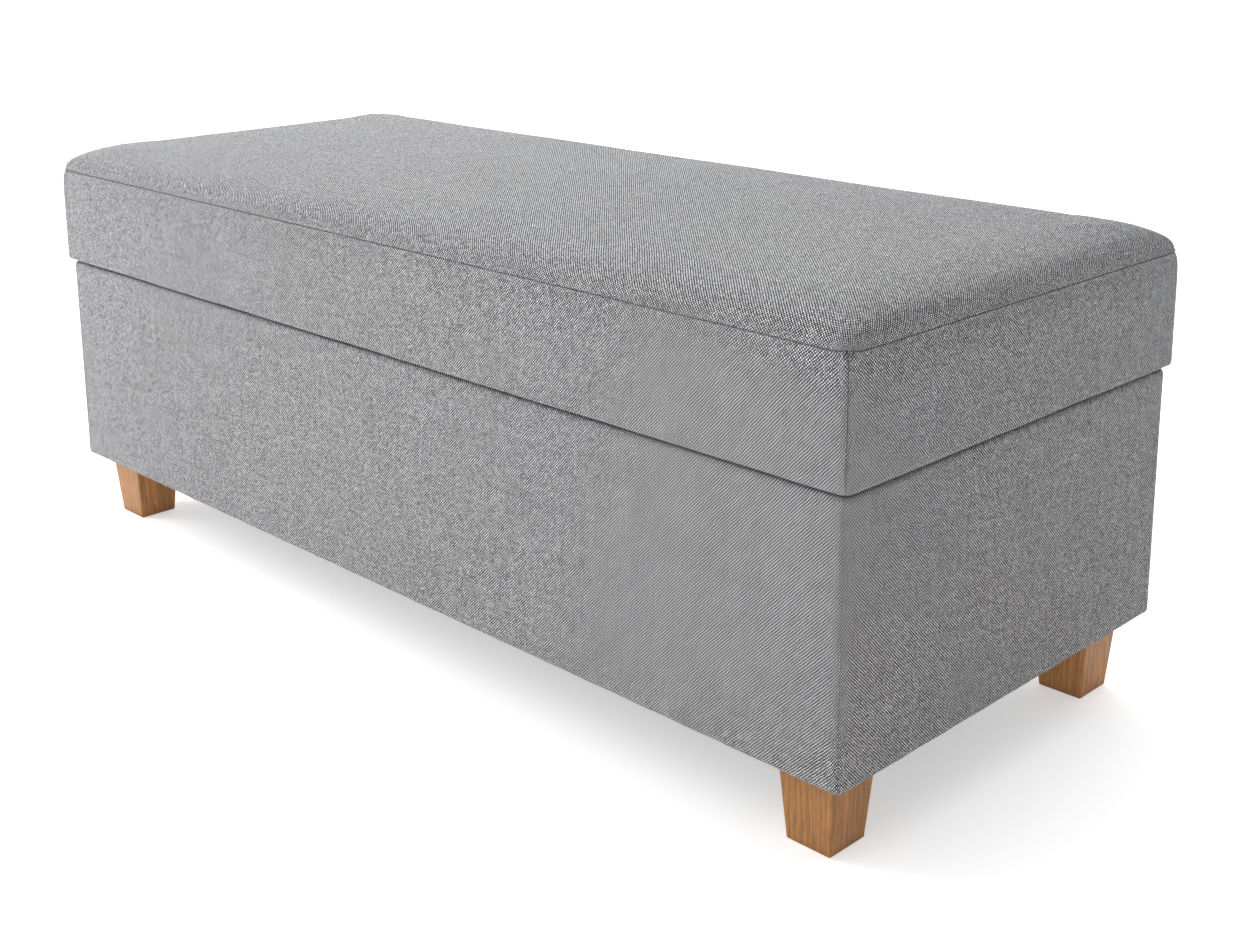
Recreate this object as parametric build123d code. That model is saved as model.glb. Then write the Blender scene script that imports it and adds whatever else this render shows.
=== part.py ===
from build123d import *
import math
import os

# Upholstered storage bench with a hinged seat lid on two gas struts and four tapered legs.
# Millimetres. X runs along the length, -Y is the front, +Y the hinge side, Z is up, and the
# origin is on the floor under the middle of the bench.

# Overall sizes
lid_length = 1200.0
lid_width = 500.0
seat_height = 465.0
seam_drop = 27.5
lid_gap = 3.0
lid_overhang = 5.0
leg_height = 77.4

# Legs
leg_top_width = 58.5
leg_bottom_width = 46.2
leg_inset = 22.0
leg_edge_radius = 2.0
leg_foot_chamfer = 1.2

# Upholstery layers
cover_thickness = 1.5
box_wadding_thickness = 4.5
lid_wadding_side = 4.5
lid_wadding_top = 8.0
lining_thickness = 1.0
dust_cover_thickness = 0.8
cover_underwrap = 12.0
lid_underwrap = 14.0
cover_turn_in = 25.0
edge_flat = 1.0
cloth_gap = 0.5
foam_thickness = 57.6
foam_edge_radius = 20.0

# Box frame
panel_thickness = 15.0
floor_thickness = 9.0
floor_rail_width = 20.0
under_floor_height = 24.0
corner_block_width = 70.0

# Lid frame
lid_rail_thickness = 18.0
lid_rail_height = 60.0
deck_thickness = 10.0
cross_rail_width = 40.0
cross_rail_thickness = 18.0
cross_rail_spacing = 290.0
strut_block_width = 35.0
strut_block_length = 90.0

# Screws and staples
screw_radius = 2.0
screw_head_radius = 4.0
screw_head_height = 2.4
screw_length = 38.0
small_screw_radius = 1.6
small_screw_length = 13.0
small_head_radius = 2.9
small_head_height = 1.5
small_recess_width = 0.7
small_recess_span = 3.0
small_recess_depth = 0.8
staple_width = 10.0
staple_wire = 0.8
staple_leg = 8.0
panel_screw_margin = 40.0
panel_screws_per_corner = 3
floor_screw_margin = 60.0
floor_screws_per_rail = 4
rail_screw_margin = 15.0
rail_screws_per_corner = 2
deck_screw_margin = 60.0
deck_screws_per_rail = 6
staple_end_margin = 45.0
dust_staples_per_side = 9
lining_staples_per_side = 10
staples_per_end = 4

# Leg fixings
bolt_radius = 4.0
bolt_wood_length = 30.0
bolt_machine_length = 21.0
bolt_bore_spare = 3.0
tee_nut_flange_radius = 10.0
tee_nut_flange_thickness = 1.5
tee_nut_barrel_radius = 5.0
tee_nut_barrel_length = 11.0

# Hinges
hinge_position = 360.0
hinge_length = 64.0
hinge_knuckles = 5
knuckle_radius = 1.9
pin_radius = 0.9
leaf_thickness = 1.0
leaf_width = 22.5
leaf_screw_line = 16.3
leaf_screw_spacing = 21.0
knuckle_set_in = 0.3

# Gas struts
lid_open_angle = 85.0
strut_base_back = 45.0
strut_base_drop = 170.0
strut_lid_back = 80.0
strut_lid_drop = 18.5
tube_radius = 7.0
tube_bore_radius = 5.8
tube_wall_end = 6.0
tube_start = 14.0
tube_clear_of_lid_eye = 19.5
tube_guide_length = 8.0
rod_radius = 3.0
piston_length = 6.0
piston_start = 24.0
socket_radius = 7.0
socket_width = 14.0
socket_neck_radius = 4.5
socket_cap = 2.0
stud_radius = 3.5
strut_side_clearance = 7.5
bracket_thickness = 2.0
bracket_width = 24.0
bracket_height = 44.0
lid_bracket_length = 44.0
lid_bracket_reach = 26.0
lid_ear_width = 16.0
open_pivot_gap = 0.5

# Rim bumpers
bumper_radius = 4.75
bumper_end_distance = 35.0

# Clearances
running_clearance = 0.05
knuckle_gap = 0.2
touch_clearance = 0.1

# Levels
lid_stack = lid_rail_height + deck_thickness + foam_thickness + lid_wadding_top
lid_underside = seat_height - lid_stack - 2 * cover_thickness
seam_height = seat_height - seam_drop
dust_cover_top = leg_height + dust_cover_thickness
frame_bottom = dust_cover_top
box_cover_bottom = frame_bottom - cover_thickness
rim_height = lid_underside - lid_gap
panel_top = rim_height - cover_thickness
floor_underside = frame_bottom + under_floor_height
floor_top = floor_underside + floor_thickness
lid_frame_bottom = lid_underside + cover_thickness
deck_underside = lid_frame_bottom + lid_rail_height
deck_top = deck_underside + deck_thickness
foam_top = seat_height - cover_thickness - lid_wadding_top

# Half lengths (X) and half widths (Y) of each layer
lid_x = lid_length / 2
lid_y = lid_width / 2
box_x = lid_x - lid_overhang
box_y = lid_y - lid_overhang
box_skin = cover_thickness + box_wadding_thickness
panel_x = box_x - box_skin
panel_y = box_y - box_skin
cavity_x = panel_x - panel_thickness
cavity_y = panel_y - panel_thickness
lid_skin = cover_thickness + lid_wadding_side
rail_x = lid_x - lid_skin
rail_y = lid_y - lid_skin
lid_inner_x = rail_x - lid_rail_thickness
lid_inner_y = rail_y - lid_rail_thickness

# Edge radii that keep a little flat at each frame edge
box_edge_radius = box_skin - edge_flat
lid_lower_radius = lid_skin - edge_flat
lid_upper_radius = seam_drop

# Hinge line
hinge_y = lid_y - knuckle_radius - knuckle_set_in
hinge_z = lid_underside - lid_gap / 2
leaf_screw_y = hinge_y - leaf_screw_line

# Strut centres
strut_x = cavity_x - lining_thickness - bracket_thickness - strut_side_clearance - socket_width / 2
strut_base_y = hinge_y - strut_base_back
strut_base_z = hinge_z - strut_base_drop
strut_lid_y = hinge_y - strut_lid_back
strut_lid_z = hinge_z - strut_lid_drop
strut_rise = strut_lid_z - strut_base_z
strut_run = strut_lid_y - strut_base_y
strut_closed_length = math.hypot(strut_rise, strut_run)

sides = {"left": -1, "right": 1}
ends = {"front": -1, "back": 1}


def block(x0, x1, y0, y1, z0, z1):
    """Box between two opposite corners."""
    middle = Pos((x0 + x1) / 2, (y0 + y1) / 2, (z0 + z1) / 2)
    return middle * Box(abs(x1 - x0), abs(y1 - y0), abs(z1 - z0))


def centred_block(half_x, half_y, z0, z1):
    """Box centred on the Z axis."""
    return block(-half_x, half_x, -half_y, half_y, z0, z1)


def rounded_slab(plane, half_span, half_depth, z0, z1, top_radius, bottom_radius):
    """Long bar whose section has rounded top and bottom corners."""
    outline = Rectangle(2 * half_span, z1 - z0)
    if top_radius > 0:
        outline = fillet(outline.vertices().sort_by(Axis.Y)[-2:], top_radius)
    if bottom_radius > 0:
        outline = fillet(outline.vertices().sort_by(Axis.Y)[:2], bottom_radius)
    return extrude(plane * Pos(0, (z0 + z1) / 2) * outline, amount=half_depth, both=True)


def padded_block(half_x, half_y, z0, z1, top_radius, bottom_radius):
    """Box with rounded top and bottom edges that meet in a mitre at each upright corner."""
    along_y = rounded_slab(Plane.XZ, half_x, half_y, z0, z1, top_radius, bottom_radius)
    along_x = rounded_slab(Plane.YZ, half_y, half_x, z0, z1, top_radius, bottom_radius)
    return along_y & along_x


def side_wedge(side, half_x, half_y, z0, z1):
    """Mitred slice of the space that belongs to one side of a four-sided cover."""
    reach = half_x - half_y
    if side in ends:
        sign = ends[side]
        outline = [(-half_x, sign * half_y), (half_x, sign * half_y), (reach, 0), (-reach, 0)]
    else:
        sign = sides[side]
        outline = [(sign * half_x, -half_y), (sign * half_x, half_y), (sign * reach, 0)]
    face = make_face(Polyline(*outline, close=True))
    return extrude(Pos(0, 0, z0) * face, amount=z1 - z0, dir=(0, 0, 1))


def one_solid(shape):
    """The largest solid of a result, as a part of its own."""
    return Part() + shape.solids().sort_by(SortBy.VOLUME)[-1]


def group(solids):
    """Separate solids kept together in one node."""
    return Compound(children=[solid for shape in solids for solid in shape.solids()])


def screw_along_z(x, y, z, direction, length=screw_length):
    """Countersunk wood screw whose head is flush at z and whose point goes along direction."""
    head = Cone(screw_head_radius, screw_radius, screw_head_height)
    head = Pos(0, 0, screw_head_height / 2) * head
    shank = Pos(0, 0, screw_head_height + (length - screw_head_height) / 2)
    shank = shank * Cylinder(screw_radius, length - screw_head_height)
    turn = Rot(0, 0, 0) if direction > 0 else Rot(180, 0, 0)
    return Pos(x, y, z) * turn * (head + shank)


def screw_along_y(x, y, z, direction):
    """Countersunk wood screw driven along Y from a face at y."""
    turn = Rot(-90, 0, 0) if direction > 0 else Rot(90, 0, 0)
    return Pos(x, y, z) * turn * screw_along_z(0, 0, 0, 1)


def small_screw(location, head_height, sunk):
    """Short cross-recessed screw for thin metal, with a flush or a raised head, along +Z."""
    start = 0 if sunk else -head_height
    if sunk:
        head = Cone(small_head_radius, small_screw_radius, head_height)
    else:
        head = fillet(Cylinder(small_head_radius, head_height).edges().sort_by(Axis.Z)[0], 0.5)
    head = Pos(0, 0, start + head_height / 2) * head
    shank_start = start + head_height
    shank_length = small_screw_length - shank_start
    shank = Pos(0, 0, shank_start + shank_length / 2) * Cylinder(small_screw_radius, shank_length)
    bars = [
        Pos(0, 0, start) * Box(x, y, 2 * small_recess_depth)
        for x, y in ((small_recess_span, small_recess_width), (small_recess_width, small_recess_span))
    ]
    return location * (head + shank - bars)


def staple(x, y, z, along_x):
    """Staple with its crown under z and both legs driven up."""
    span = staple_width / 2
    wire = staple_wire
    crown = block(-span, span, -wire / 2, wire / 2, -wire, 0)
    legs = [
        block(start, start + wire, -wire / 2, wire / 2, -wire, staple_leg)
        for start in (-span, span - wire)
    ]
    turn = Rot(0, 0, 0 if along_x else 90)
    return Pos(x, y, z) * turn * (crown + legs)


def spread(first, last, count):
    """Evenly spaced values from first to last."""
    step = (last - first) / (count - 1)
    return [first + step * i for i in range(count)]


def leg_centre():
    """Plan position of a leg's centre, in the +X, +Y corner."""
    half = leg_top_width / 2
    return box_x - leg_inset - half, box_y - leg_inset - half


def leg(x, y):
    """Tapered square leg with eased edges and a bored top."""
    foot = Rectangle(leg_bottom_width, leg_bottom_width)
    head = Pos(0, 0, leg_height) * Rectangle(leg_top_width, leg_top_width)
    body = loft([foot.face(), head.face()])
    uprights = body.edges().filter_by(lambda edge: abs(edge.bounding_box().size.Z) > leg_height / 2)
    body = fillet(uprights, leg_edge_radius)
    body = chamfer(body.faces().sort_by(Axis.Z)[0].edges(), leg_foot_chamfer)
    bore_depth = bolt_wood_length + bolt_bore_spare
    bore = Pos(0, 0, leg_height - bore_depth / 2) * Cylinder(bolt_radius, bore_depth)
    return Pos(x, y, 0) * (body - bore)


def hanger_bolt(x, y):
    """Bolt with a wood thread in the leg and a machine thread in the tee nut."""
    length = bolt_wood_length + bolt_machine_length
    middle = leg_height - bolt_wood_length + length / 2
    shape = Cylinder(bolt_radius, length)
    shape = chamfer(shape.edges().sort_by(Axis.Z)[0], bolt_radius / 2)
    shape = chamfer(shape.edges().sort_by(Axis.Z)[-1], bolt_radius / 5)
    return Pos(x, y, middle) * shape


def tee_nut(x, y):
    """Flanged nut let into the top of a corner block."""
    flange = Cylinder(tee_nut_flange_radius, tee_nut_flange_thickness)
    flange = Pos(0, 0, -tee_nut_flange_thickness / 2) * flange
    barrel_middle = -tee_nut_flange_thickness - tee_nut_barrel_length / 2
    barrel = Pos(0, 0, barrel_middle) * Cylinder(tee_nut_barrel_radius, tee_nut_barrel_length)
    bore = Cylinder(bolt_radius + running_clearance, 4 * under_floor_height)
    return Pos(x, y, floor_underside) * (flange + barrel - bore)


def box_frame():
    """Box panels, floor, floor rails, corner blocks and their screws."""
    front = block(-panel_x, panel_x, -panel_y, -cavity_y, frame_bottom, panel_top)
    end = block(cavity_x, panel_x, -cavity_y, cavity_y, frame_bottom, panel_top)
    made = {
        "front_panel": front,
        "back_panel": mirror(front, Plane.XZ),
        "right_end_panel": end,
        "left_end_panel": mirror(end, Plane.YZ),
        "floor_panel": centred_block(cavity_x, cavity_y, floor_underside, floor_top),
    }
    block_x = cavity_x - corner_block_width
    block_y = cavity_y - corner_block_width
    rail = block(-block_x, block_x, cavity_y - floor_rail_width, cavity_y,
                 frame_bottom, floor_underside)
    made["back_floor_rail"] = rail
    made["front_floor_rail"] = mirror(rail, Plane.XZ)

    x, y = leg_centre()
    nut_depth = tee_nut_flange_thickness + tee_nut_barrel_length
    corner = block(block_x, cavity_x, block_y, cavity_y, frame_bottom, floor_underside)
    passage = block_bore(x, y, bolt_radius + running_clearance, frame_bottom, floor_underside)
    barrel = block_bore(x, y, tee_nut_barrel_radius, floor_underside - nut_depth, floor_underside)
    recess = block_bore(x, y, tee_nut_flange_radius,
                        floor_underside - tee_nut_flange_thickness, floor_underside)
    corner = corner - [passage, barrel, recess]
    made["corner_blocks"] = group(four_corners(corner))

    corner_line = panel_x - panel_thickness / 2
    heights = spread(frame_bottom + panel_screw_margin, panel_top - panel_screw_margin,
                     panel_screws_per_corner)
    screws = [
        screw_along_y(side * corner_line, end_sign * panel_y, z, -end_sign)
        for side in sides.values() for end_sign in ends.values() for z in heights
    ]
    rail_line = cavity_y - floor_rail_width / 2
    floor_screw_length = floor_thickness + under_floor_height / 2
    screws += [
        screw_along_z(x_place, end_sign * rail_line, floor_top, -1, floor_screw_length)
        for x_place in spread(-block_x + floor_screw_margin, block_x - floor_screw_margin,
                              floor_screws_per_rail)
        for end_sign in ends.values()
    ]
    made["box_screws"] = group(screws)
    for name in made:
        if name not in ("box_screws", "corner_blocks"):
            made[name] = made[name] - screws
    return made


def block_bore(x, y, radius, z0, z1):
    """Upright cylinder used to bore a block."""
    return Pos(x, y, (z0 + z1) / 2) * Cylinder(radius, z1 - z0)


def four_corners(shape):
    """A shape and its mirror images in the other three corners."""
    pair = [shape, mirror(shape, Plane.YZ)]
    return pair + [mirror(item, Plane.XZ) for item in pair]


def legs_and_fixings():
    """Four legs, each with a hanger bolt and a tee nut."""
    x, y = leg_centre()
    made = {}
    for end_name, end_sign in ends.items():
        for side_name, side in sides.items():
            made[f"leg_{end_name}_{side_name}"] = leg(side * x, end_sign * y)
    made["leg_hanger_bolts"] = group(four_corners(hanger_bolt(x, y)))
    made["leg_tee_nuts"] = group(four_corners(tee_nut(x, y)))
    return made


def box_upholstery():
    """Wadding, four mitred cover panels, cavity lining and dust cover of the box."""
    outer = padded_block(box_x, box_y, box_cover_bottom, rim_height,
                         box_edge_radius, box_edge_radius)
    inner = padded_block(box_x - cover_thickness, box_y - cover_thickness, frame_bottom,
                         panel_top, box_edge_radius - cover_thickness,
                         box_edge_radius - cover_thickness)
    wadding = inner - centred_block(panel_x, panel_y, frame_bottom - 1, panel_top + 1)

    mouth_x = cavity_x - cover_thickness
    mouth_y = cavity_y - cover_thickness
    mouth = centred_block(mouth_x, mouth_y, panel_top - 1, rim_height + 1)
    foot = centred_block(box_x - cover_underwrap, box_y - cover_underwrap,
                         box_cover_bottom - 1, frame_bottom + 1)
    drop_bottom = rim_height - cover_turn_in
    drop = centred_block(cavity_x, cavity_y, drop_bottom, panel_top)
    drop = drop - centred_block(mouth_x, mouth_y, drop_bottom - 1, panel_top + 1)
    cover = (outer - inner - mouth - foot) + drop

    lining_x = cavity_x - lining_thickness
    lining_y = cavity_y - lining_thickness
    wall_bottom = floor_top + lining_thickness
    walls = centred_block(cavity_x, cavity_y, wall_bottom, drop_bottom)
    walls = walls - centred_block(lining_x, lining_y, wall_bottom - 1, drop_bottom + 1)

    x, y = leg_centre()
    dust_x = box_x - cover_underwrap - cloth_gap
    dust_y = box_y - cover_underwrap - cloth_gap
    dust = centred_block(dust_x, dust_y, leg_height, dust_cover_top)
    holes = four_corners(block_bore(x, y, bolt_radius + cloth_gap, leg_height - 1, frame_bottom + 1))

    staple_y = (cavity_y + dust_y) / 2
    staple_x = (cavity_x + dust_x) / 2
    row_x = cavity_x - staple_end_margin
    row_y = cavity_y - staple_end_margin
    staples = [
        staple(x_place, sign * staple_y, leg_height, True)
        for x_place in spread(-row_x, row_x, dust_staples_per_side) for sign in (-1, 1)
    ]
    staples += [
        staple(sign * staple_x, y_place, leg_height, False)
        for y_place in spread(-row_y, row_y, staples_per_end) for sign in (-1, 1)
    ]

    made = {
        "box_wadding": wadding,
        "cavity_lining_walls": walls,
        "cavity_lining_floor": centred_block(cavity_x, cavity_y, floor_top, wall_bottom),
        "dust_cover": dust - holes,
        "dust_cover_staples": group(staples),
    }
    for side in list(ends) + list(sides):
        wedge = side_wedge(side, box_x, box_y, box_cover_bottom - 1, rim_height + 1)
        made[f"box_cover_{side}"] = one_solid(cover & wedge)
    return made


def lid_frame():
    """Four rails, cross rails, strut blocks, deck panel and their screws."""
    front = block(-rail_x, rail_x, -rail_y, -lid_inner_y, lid_frame_bottom, deck_underside)
    end = block(lid_inner_x, rail_x, -lid_inner_y, lid_inner_y, lid_frame_bottom, deck_underside)
    cross = [
        block(x - cross_rail_width / 2, x + cross_rail_width / 2, -lid_inner_y, lid_inner_y,
              deck_underside - cross_rail_thickness, deck_underside)
        for x in (-cross_rail_spacing, 0, cross_rail_spacing)
    ]
    strut_block = block(lid_inner_x - strut_block_width, lid_inner_x,
                        lid_inner_y - strut_block_length, lid_inner_y,
                        lid_frame_bottom, deck_underside)
    made = {
        "lid_front_rail": front,
        "lid_back_rail": mirror(front, Plane.XZ),
        "lid_right_rail": end,
        "lid_left_rail": mirror(end, Plane.YZ),
        "lid_deck_panel": centred_block(rail_x, rail_y, deck_underside, deck_top),
    }
    corner_line = rail_x - lid_rail_thickness / 2
    rail_line = rail_y - lid_rail_thickness / 2
    screws = [
        screw_along_y(side * corner_line, end_sign * rail_y, z, -end_sign)
        for side in sides.values() for end_sign in ends.values()
        for z in spread(lid_frame_bottom + rail_screw_margin, deck_underside - rail_screw_margin,
                        rail_screws_per_corner)
    ]
    screws += [
        screw_along_z(x, end_sign * rail_line, deck_top, -1)
        for x in spread(-rail_x + deck_screw_margin, rail_x - deck_screw_margin,
                        deck_screws_per_rail)
        for end_sign in ends.values()
    ]
    for name in made:
        made[name] = made[name] - screws
    made["lid_cross_rails"] = group(cross)
    made["lid_strut_blocks"] = group([strut_block, mirror(strut_block, Plane.YZ)])
    made["lid_frame_screws"] = group(screws)
    return made


def seat_upholstery():
    """Seat foam, wadding, top cover, four boxing panels and the lid's underside cloth."""
    outer = padded_block(lid_x, lid_y, lid_underside, seat_height,
                         lid_upper_radius, lid_lower_radius)
    inner = padded_block(lid_x - cover_thickness, lid_y - cover_thickness, lid_frame_bottom,
                         seat_height - cover_thickness, lid_upper_radius - cover_thickness,
                         lid_lower_radius - cover_thickness)
    foam = padded_block(rail_x, rail_y, deck_top, foam_top, foam_edge_radius, 0)
    wadding = inner - centred_block(rail_x, rail_y, lid_frame_bottom - 1, deck_top) - foam
    foot = centred_block(lid_x - lid_underwrap, lid_y - lid_underwrap,
                         lid_underside - 1, lid_frame_bottom + 1)
    cover = outer - inner - foot
    above = centred_block(lid_x + 1, lid_y + 1, seam_height, seat_height + 1)

    lining_x = lid_x - lid_underwrap - cloth_gap
    lining_y = lid_y - lid_underwrap - cloth_gap
    staple_x = (lid_inner_x + lining_x) / 2
    staple_y = (lid_inner_y + lining_y) / 2
    hinge_room = hinge_length / 2 + staple_width
    row_x = lid_inner_x - staple_end_margin
    row_y = lid_inner_y - staple_end_margin
    staples = [
        staple(x, sign * staple_y, lid_underside, True)
        for x in spread(-row_x, row_x, lining_staples_per_side) for sign in (-1, 1)
        if sign < 0 or abs(abs(x) - hinge_position) > hinge_room
    ]
    staples += [
        staple(sign * staple_x, y, lid_underside, False)
        for y in spread(-row_y, row_y, staples_per_end) for sign in (-1, 1)
    ]

    made = {
        "seat_foam": foam,
        "seat_wadding": one_solid(wadding),
        "lid_cover_top": one_solid(cover & above),
        "lid_lining": centred_block(lining_x, lining_y, lid_underside, lid_frame_bottom),
        "lid_lining_staples": group(staples),
    }
    for side in list(ends) + list(sides):
        wedge = side_wedge(side, lid_x, lid_y, lid_underside - 1, seam_height)
        made[f"lid_cover_{side}"] = one_solid(cover & wedge)
    return made


def hinge_leaf(x, on_lid):
    """Flat leaf with its share of the knuckles, cut clear of the other leaf's knuckles."""
    pitch = hinge_length / hinge_knuckles
    half = hinge_length / 2
    reach = knuckle_radius + knuckle_gap
    if on_lid:
        low = lid_underside - leaf_thickness
    else:
        low = rim_height
    plate = block(-half, half, hinge_y - leaf_width, hinge_y - reach, low, low + leaf_thickness)
    first = 0 if on_lid else 1
    for i in range(first, hinge_knuckles, 2):
        start = -half + i * pitch + knuckle_gap / 2
        stop = start + pitch - knuckle_gap
        barrel = Pos((start + stop) / 2, hinge_y, hinge_z) * Rot(0, 90, 0)
        plate += barrel * Cylinder(knuckle_radius, stop - start)
        plate += block(start, stop, hinge_y - reach - knuckle_gap, hinge_y, low, low + leaf_thickness)
    bore = Pos(0, hinge_y, hinge_z) * Rot(0, 90, 0)
    bore = bore * Cylinder(pin_radius + running_clearance, 2 * hinge_length)
    return Pos(x, 0, 0) * (plate - bore)


def leaf_screws(x, on_lid):
    """Three countersunk screws through one leaf, flush with its inner face."""
    if on_lid:
        face = lid_underside - leaf_thickness
        turn = Rot(0, 0, 0)
    else:
        face = rim_height + leaf_thickness
        turn = Rot(180, 0, 0)
    return [
        small_screw(Pos(x + step, leaf_screw_y, face) * turn, small_head_height, True)
        for step in (-leaf_screw_spacing, 0, leaf_screw_spacing)
    ]


def hinges():
    """Two butt hinges: leaves, pins and the screws of each body."""
    made = {}
    screws = {"box": [], "lid": []}
    pins = []
    for side_name, side in sides.items():
        x = side * hinge_position
        for owner, on_lid in (("box", False), ("lid", True)):
            fixings = leaf_screws(x, on_lid)
            made[f"{side_name}_hinge_{owner}_leaf"] = hinge_leaf(x, on_lid) - fixings
            screws[owner] += fixings
        pin = chamfer(Cylinder(pin_radius, hinge_length).edges(), pin_radius / 3)
        pins.append(Pos(x, hinge_y, hinge_z) * Rot(0, 90, 0) * pin)
    made["hinge_pins"] = group(pins)
    return made, screws


def strut_frame(x):
    """Place a shape built along +Z onto the closed strut, with its foot at the box pivot."""
    lean = math.degrees(math.atan2(-strut_run, strut_rise))
    return Pos(x, strut_base_y, strut_base_z) * Rot(lean, 0, 0)


def strut_eye(distance, neck_direction):
    """End socket: a capped sleeve across the strut, with a neck towards the strut."""
    sleeve = Rot(0, 90, 0) * Cylinder(socket_radius, socket_width)
    bore_length = socket_width - socket_cap
    bore = Pos(socket_cap / 2, 0, 0) * Rot(0, 90, 0)
    bore = bore * Cylinder(stud_radius + running_clearance, bore_length)
    neck = Pos(0, 0, neck_direction * tube_start / 2) * Cylinder(socket_neck_radius, tube_start)
    return Pos(0, 0, distance) * (sleeve + neck - bore)


def strut_pieces():
    """Tube, rod and both end sockets of the right strut, along +Z from the box pivot."""
    tube_end = strut_closed_length - tube_clear_of_lid_eye
    tube_length = tube_end - tube_start
    tube = Pos(0, 0, tube_start + tube_length / 2) * Cylinder(tube_radius, tube_length)
    tube = fillet(tube.edges().filter_by(GeomType.CIRCLE), 1.0)
    bore_start = tube_start + tube_wall_end
    bore_end = tube_end - tube_guide_length
    bore = Pos(0, 0, (bore_start + bore_end) / 2) * Cylinder(tube_bore_radius, bore_end - bore_start)
    guide = Pos(0, 0, tube_end) * Cylinder(rod_radius + running_clearance, 4 * tube_guide_length)
    tube = tube - bore - guide

    rod_end = strut_closed_length - tube_start
    rod_length = rod_end - piston_start
    rod = Pos(0, 0, piston_start + rod_length / 2) * Cylinder(rod_radius, rod_length)
    piston = Pos(0, 0, piston_start + piston_length / 2)
    piston = piston * Cylinder(tube_bore_radius - running_clearance, piston_length)
    return {
        "cylinder": tube,
        "cylinder_socket": strut_eye(0, 1),
        "rod": rod + piston,
        "rod_socket": strut_eye(strut_closed_length, -1),
    }


def box_bracket():
    """Right bracket on the inside of the end panel, with its stud and two screws."""
    outer_face = cavity_x - lining_thickness
    inner_face = outer_face - bracket_thickness
    plate = block(inner_face, outer_face, strut_base_y - bracket_width / 2,
                  strut_base_y + bracket_width / 2, strut_base_z - bracket_height / 2,
                  strut_base_z + bracket_height / 2)
    plate = fillet(plate.edges().filter_by(Axis.X), 3.0)
    stud_tip = strut_x - socket_width / 2 + socket_cap + touch_clearance
    stud_length = inner_face - stud_tip
    stud = Pos(stud_tip + stud_length / 2, strut_base_y, strut_base_z) * Rot(0, 90, 0)
    plate += stud * Cylinder(stud_radius, stud_length)
    screw_rise = bracket_height / 2 - 6
    screws = [
        small_screw(Pos(inner_face, strut_base_y, strut_base_z + rise) * Rot(0, 90, 0),
                    small_head_height, False)
        for rise in (-screw_rise, screw_rise)
    ]
    return plate - screws, screws


def lid_bracket():
    """Right bracket under the lid: a flange, an ear and a short stud facing the rod socket."""
    ear_outer = cavity_x - lining_thickness - bracket_thickness
    ear_inner = ear_outer - bracket_thickness
    flange_low = lid_underside - bracket_thickness
    flange = block(ear_outer - lid_bracket_reach, ear_outer, strut_lid_y - lid_bracket_length / 2,
                   strut_lid_y + lid_bracket_length / 2, flange_low, lid_underside)
    ear = block(ear_inner, ear_outer, strut_lid_y - lid_ear_width / 2,
                strut_lid_y + lid_ear_width / 2, strut_lid_z - lid_ear_width / 2, lid_underside)
    ear = fillet(ear.edges().filter_by(Axis.X).sort_by(Axis.Z)[:2], lid_ear_width / 2 - 1)
    stud_tip = strut_x + socket_width / 2 + open_pivot_gap
    stud_length = ear_inner - stud_tip
    stud = Pos(stud_tip + stud_length / 2, strut_lid_y, strut_lid_z) * Rot(0, 90, 0)
    shape = flange + ear + stud * Cylinder(stud_radius, stud_length)
    screw_x = ear_outer - lid_bracket_reach / 2
    screw_step = lid_bracket_length / 2 - 7
    screws = [
        small_screw(Pos(screw_x, strut_lid_y + step, flange_low), small_head_height, False)
        for step in (-screw_step, screw_step)
    ]
    return shape - screws, screws


def both_sides(shape):
    """A right-hand shape and its left-hand mirror image."""
    return [mirror(shape, Plane.YZ), shape]


def struts():
    """Both gas struts with their brackets, and the bracket screws of each body."""
    made = {}
    for name, shape in strut_pieces().items():
        right = strut_frame(strut_x) * shape
        made[f"right_strut_{name}"] = right
        made[f"left_strut_{name}"] = mirror(right, Plane.YZ)
    box_shape, box_fixings = box_bracket()
    lid_shape, lid_fixings = lid_bracket()
    made["strut_box_brackets"] = group(both_sides(box_shape))
    made["strut_lid_brackets"] = group(both_sides(lid_shape))
    screws = {
        "box": [item for screw in box_fixings for item in both_sides(screw)],
        "lid": [item for screw in lid_fixings for item in both_sides(screw)],
    }
    return made, screws


def rim_bumpers():
    """Four bumpers on the box rim that carry the closed lid."""
    height = lid_gap - touch_clearance
    y = (panel_y + cavity_y) / 2
    disc = Pos(panel_x - bumper_end_distance, y, rim_height + height / 2)
    disc = disc * fillet(Cylinder(bumper_radius, height).edges().sort_by(Axis.Z)[-1], 0.8)
    return group(four_corners(disc))


parts = {}
parts.update(box_frame())
parts.update(legs_and_fixings())
parts.update(box_upholstery())
parts.update(lid_frame())
parts.update(seat_upholstery())
hinge_parts, hinge_screws = hinges()
strut_parts, strut_screws = struts()
parts.update(hinge_parts)
parts.update(strut_parts)
parts["rim_bumpers"] = rim_bumpers()

# Each body's small screws, and what they pass through
hardware = {owner: hinge_screws[owner] + strut_screws[owner] for owner in ("box", "lid")}
passed = {
    "box": ["back_panel", "left_end_panel", "right_end_panel", "box_cover_back",
            "cavity_lining_walls"],
    "lid": ["lid_back_rail", "lid_strut_blocks", "lid_lining"],
}
for owner, names in passed.items():
    parts[f"{owner}_hardware_screws"] = group(hardware[owner])
    for name in names:
        cut = [solid - hardware[owner] for solid in parts[name].solids()]
        parts[name] = group(cut) if len(cut) > 1 else cut[0]

os.makedirs("parts", exist_ok=True)
for name, shape in parts.items():
    export_step(shape, f"parts/{name}.step")

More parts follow.
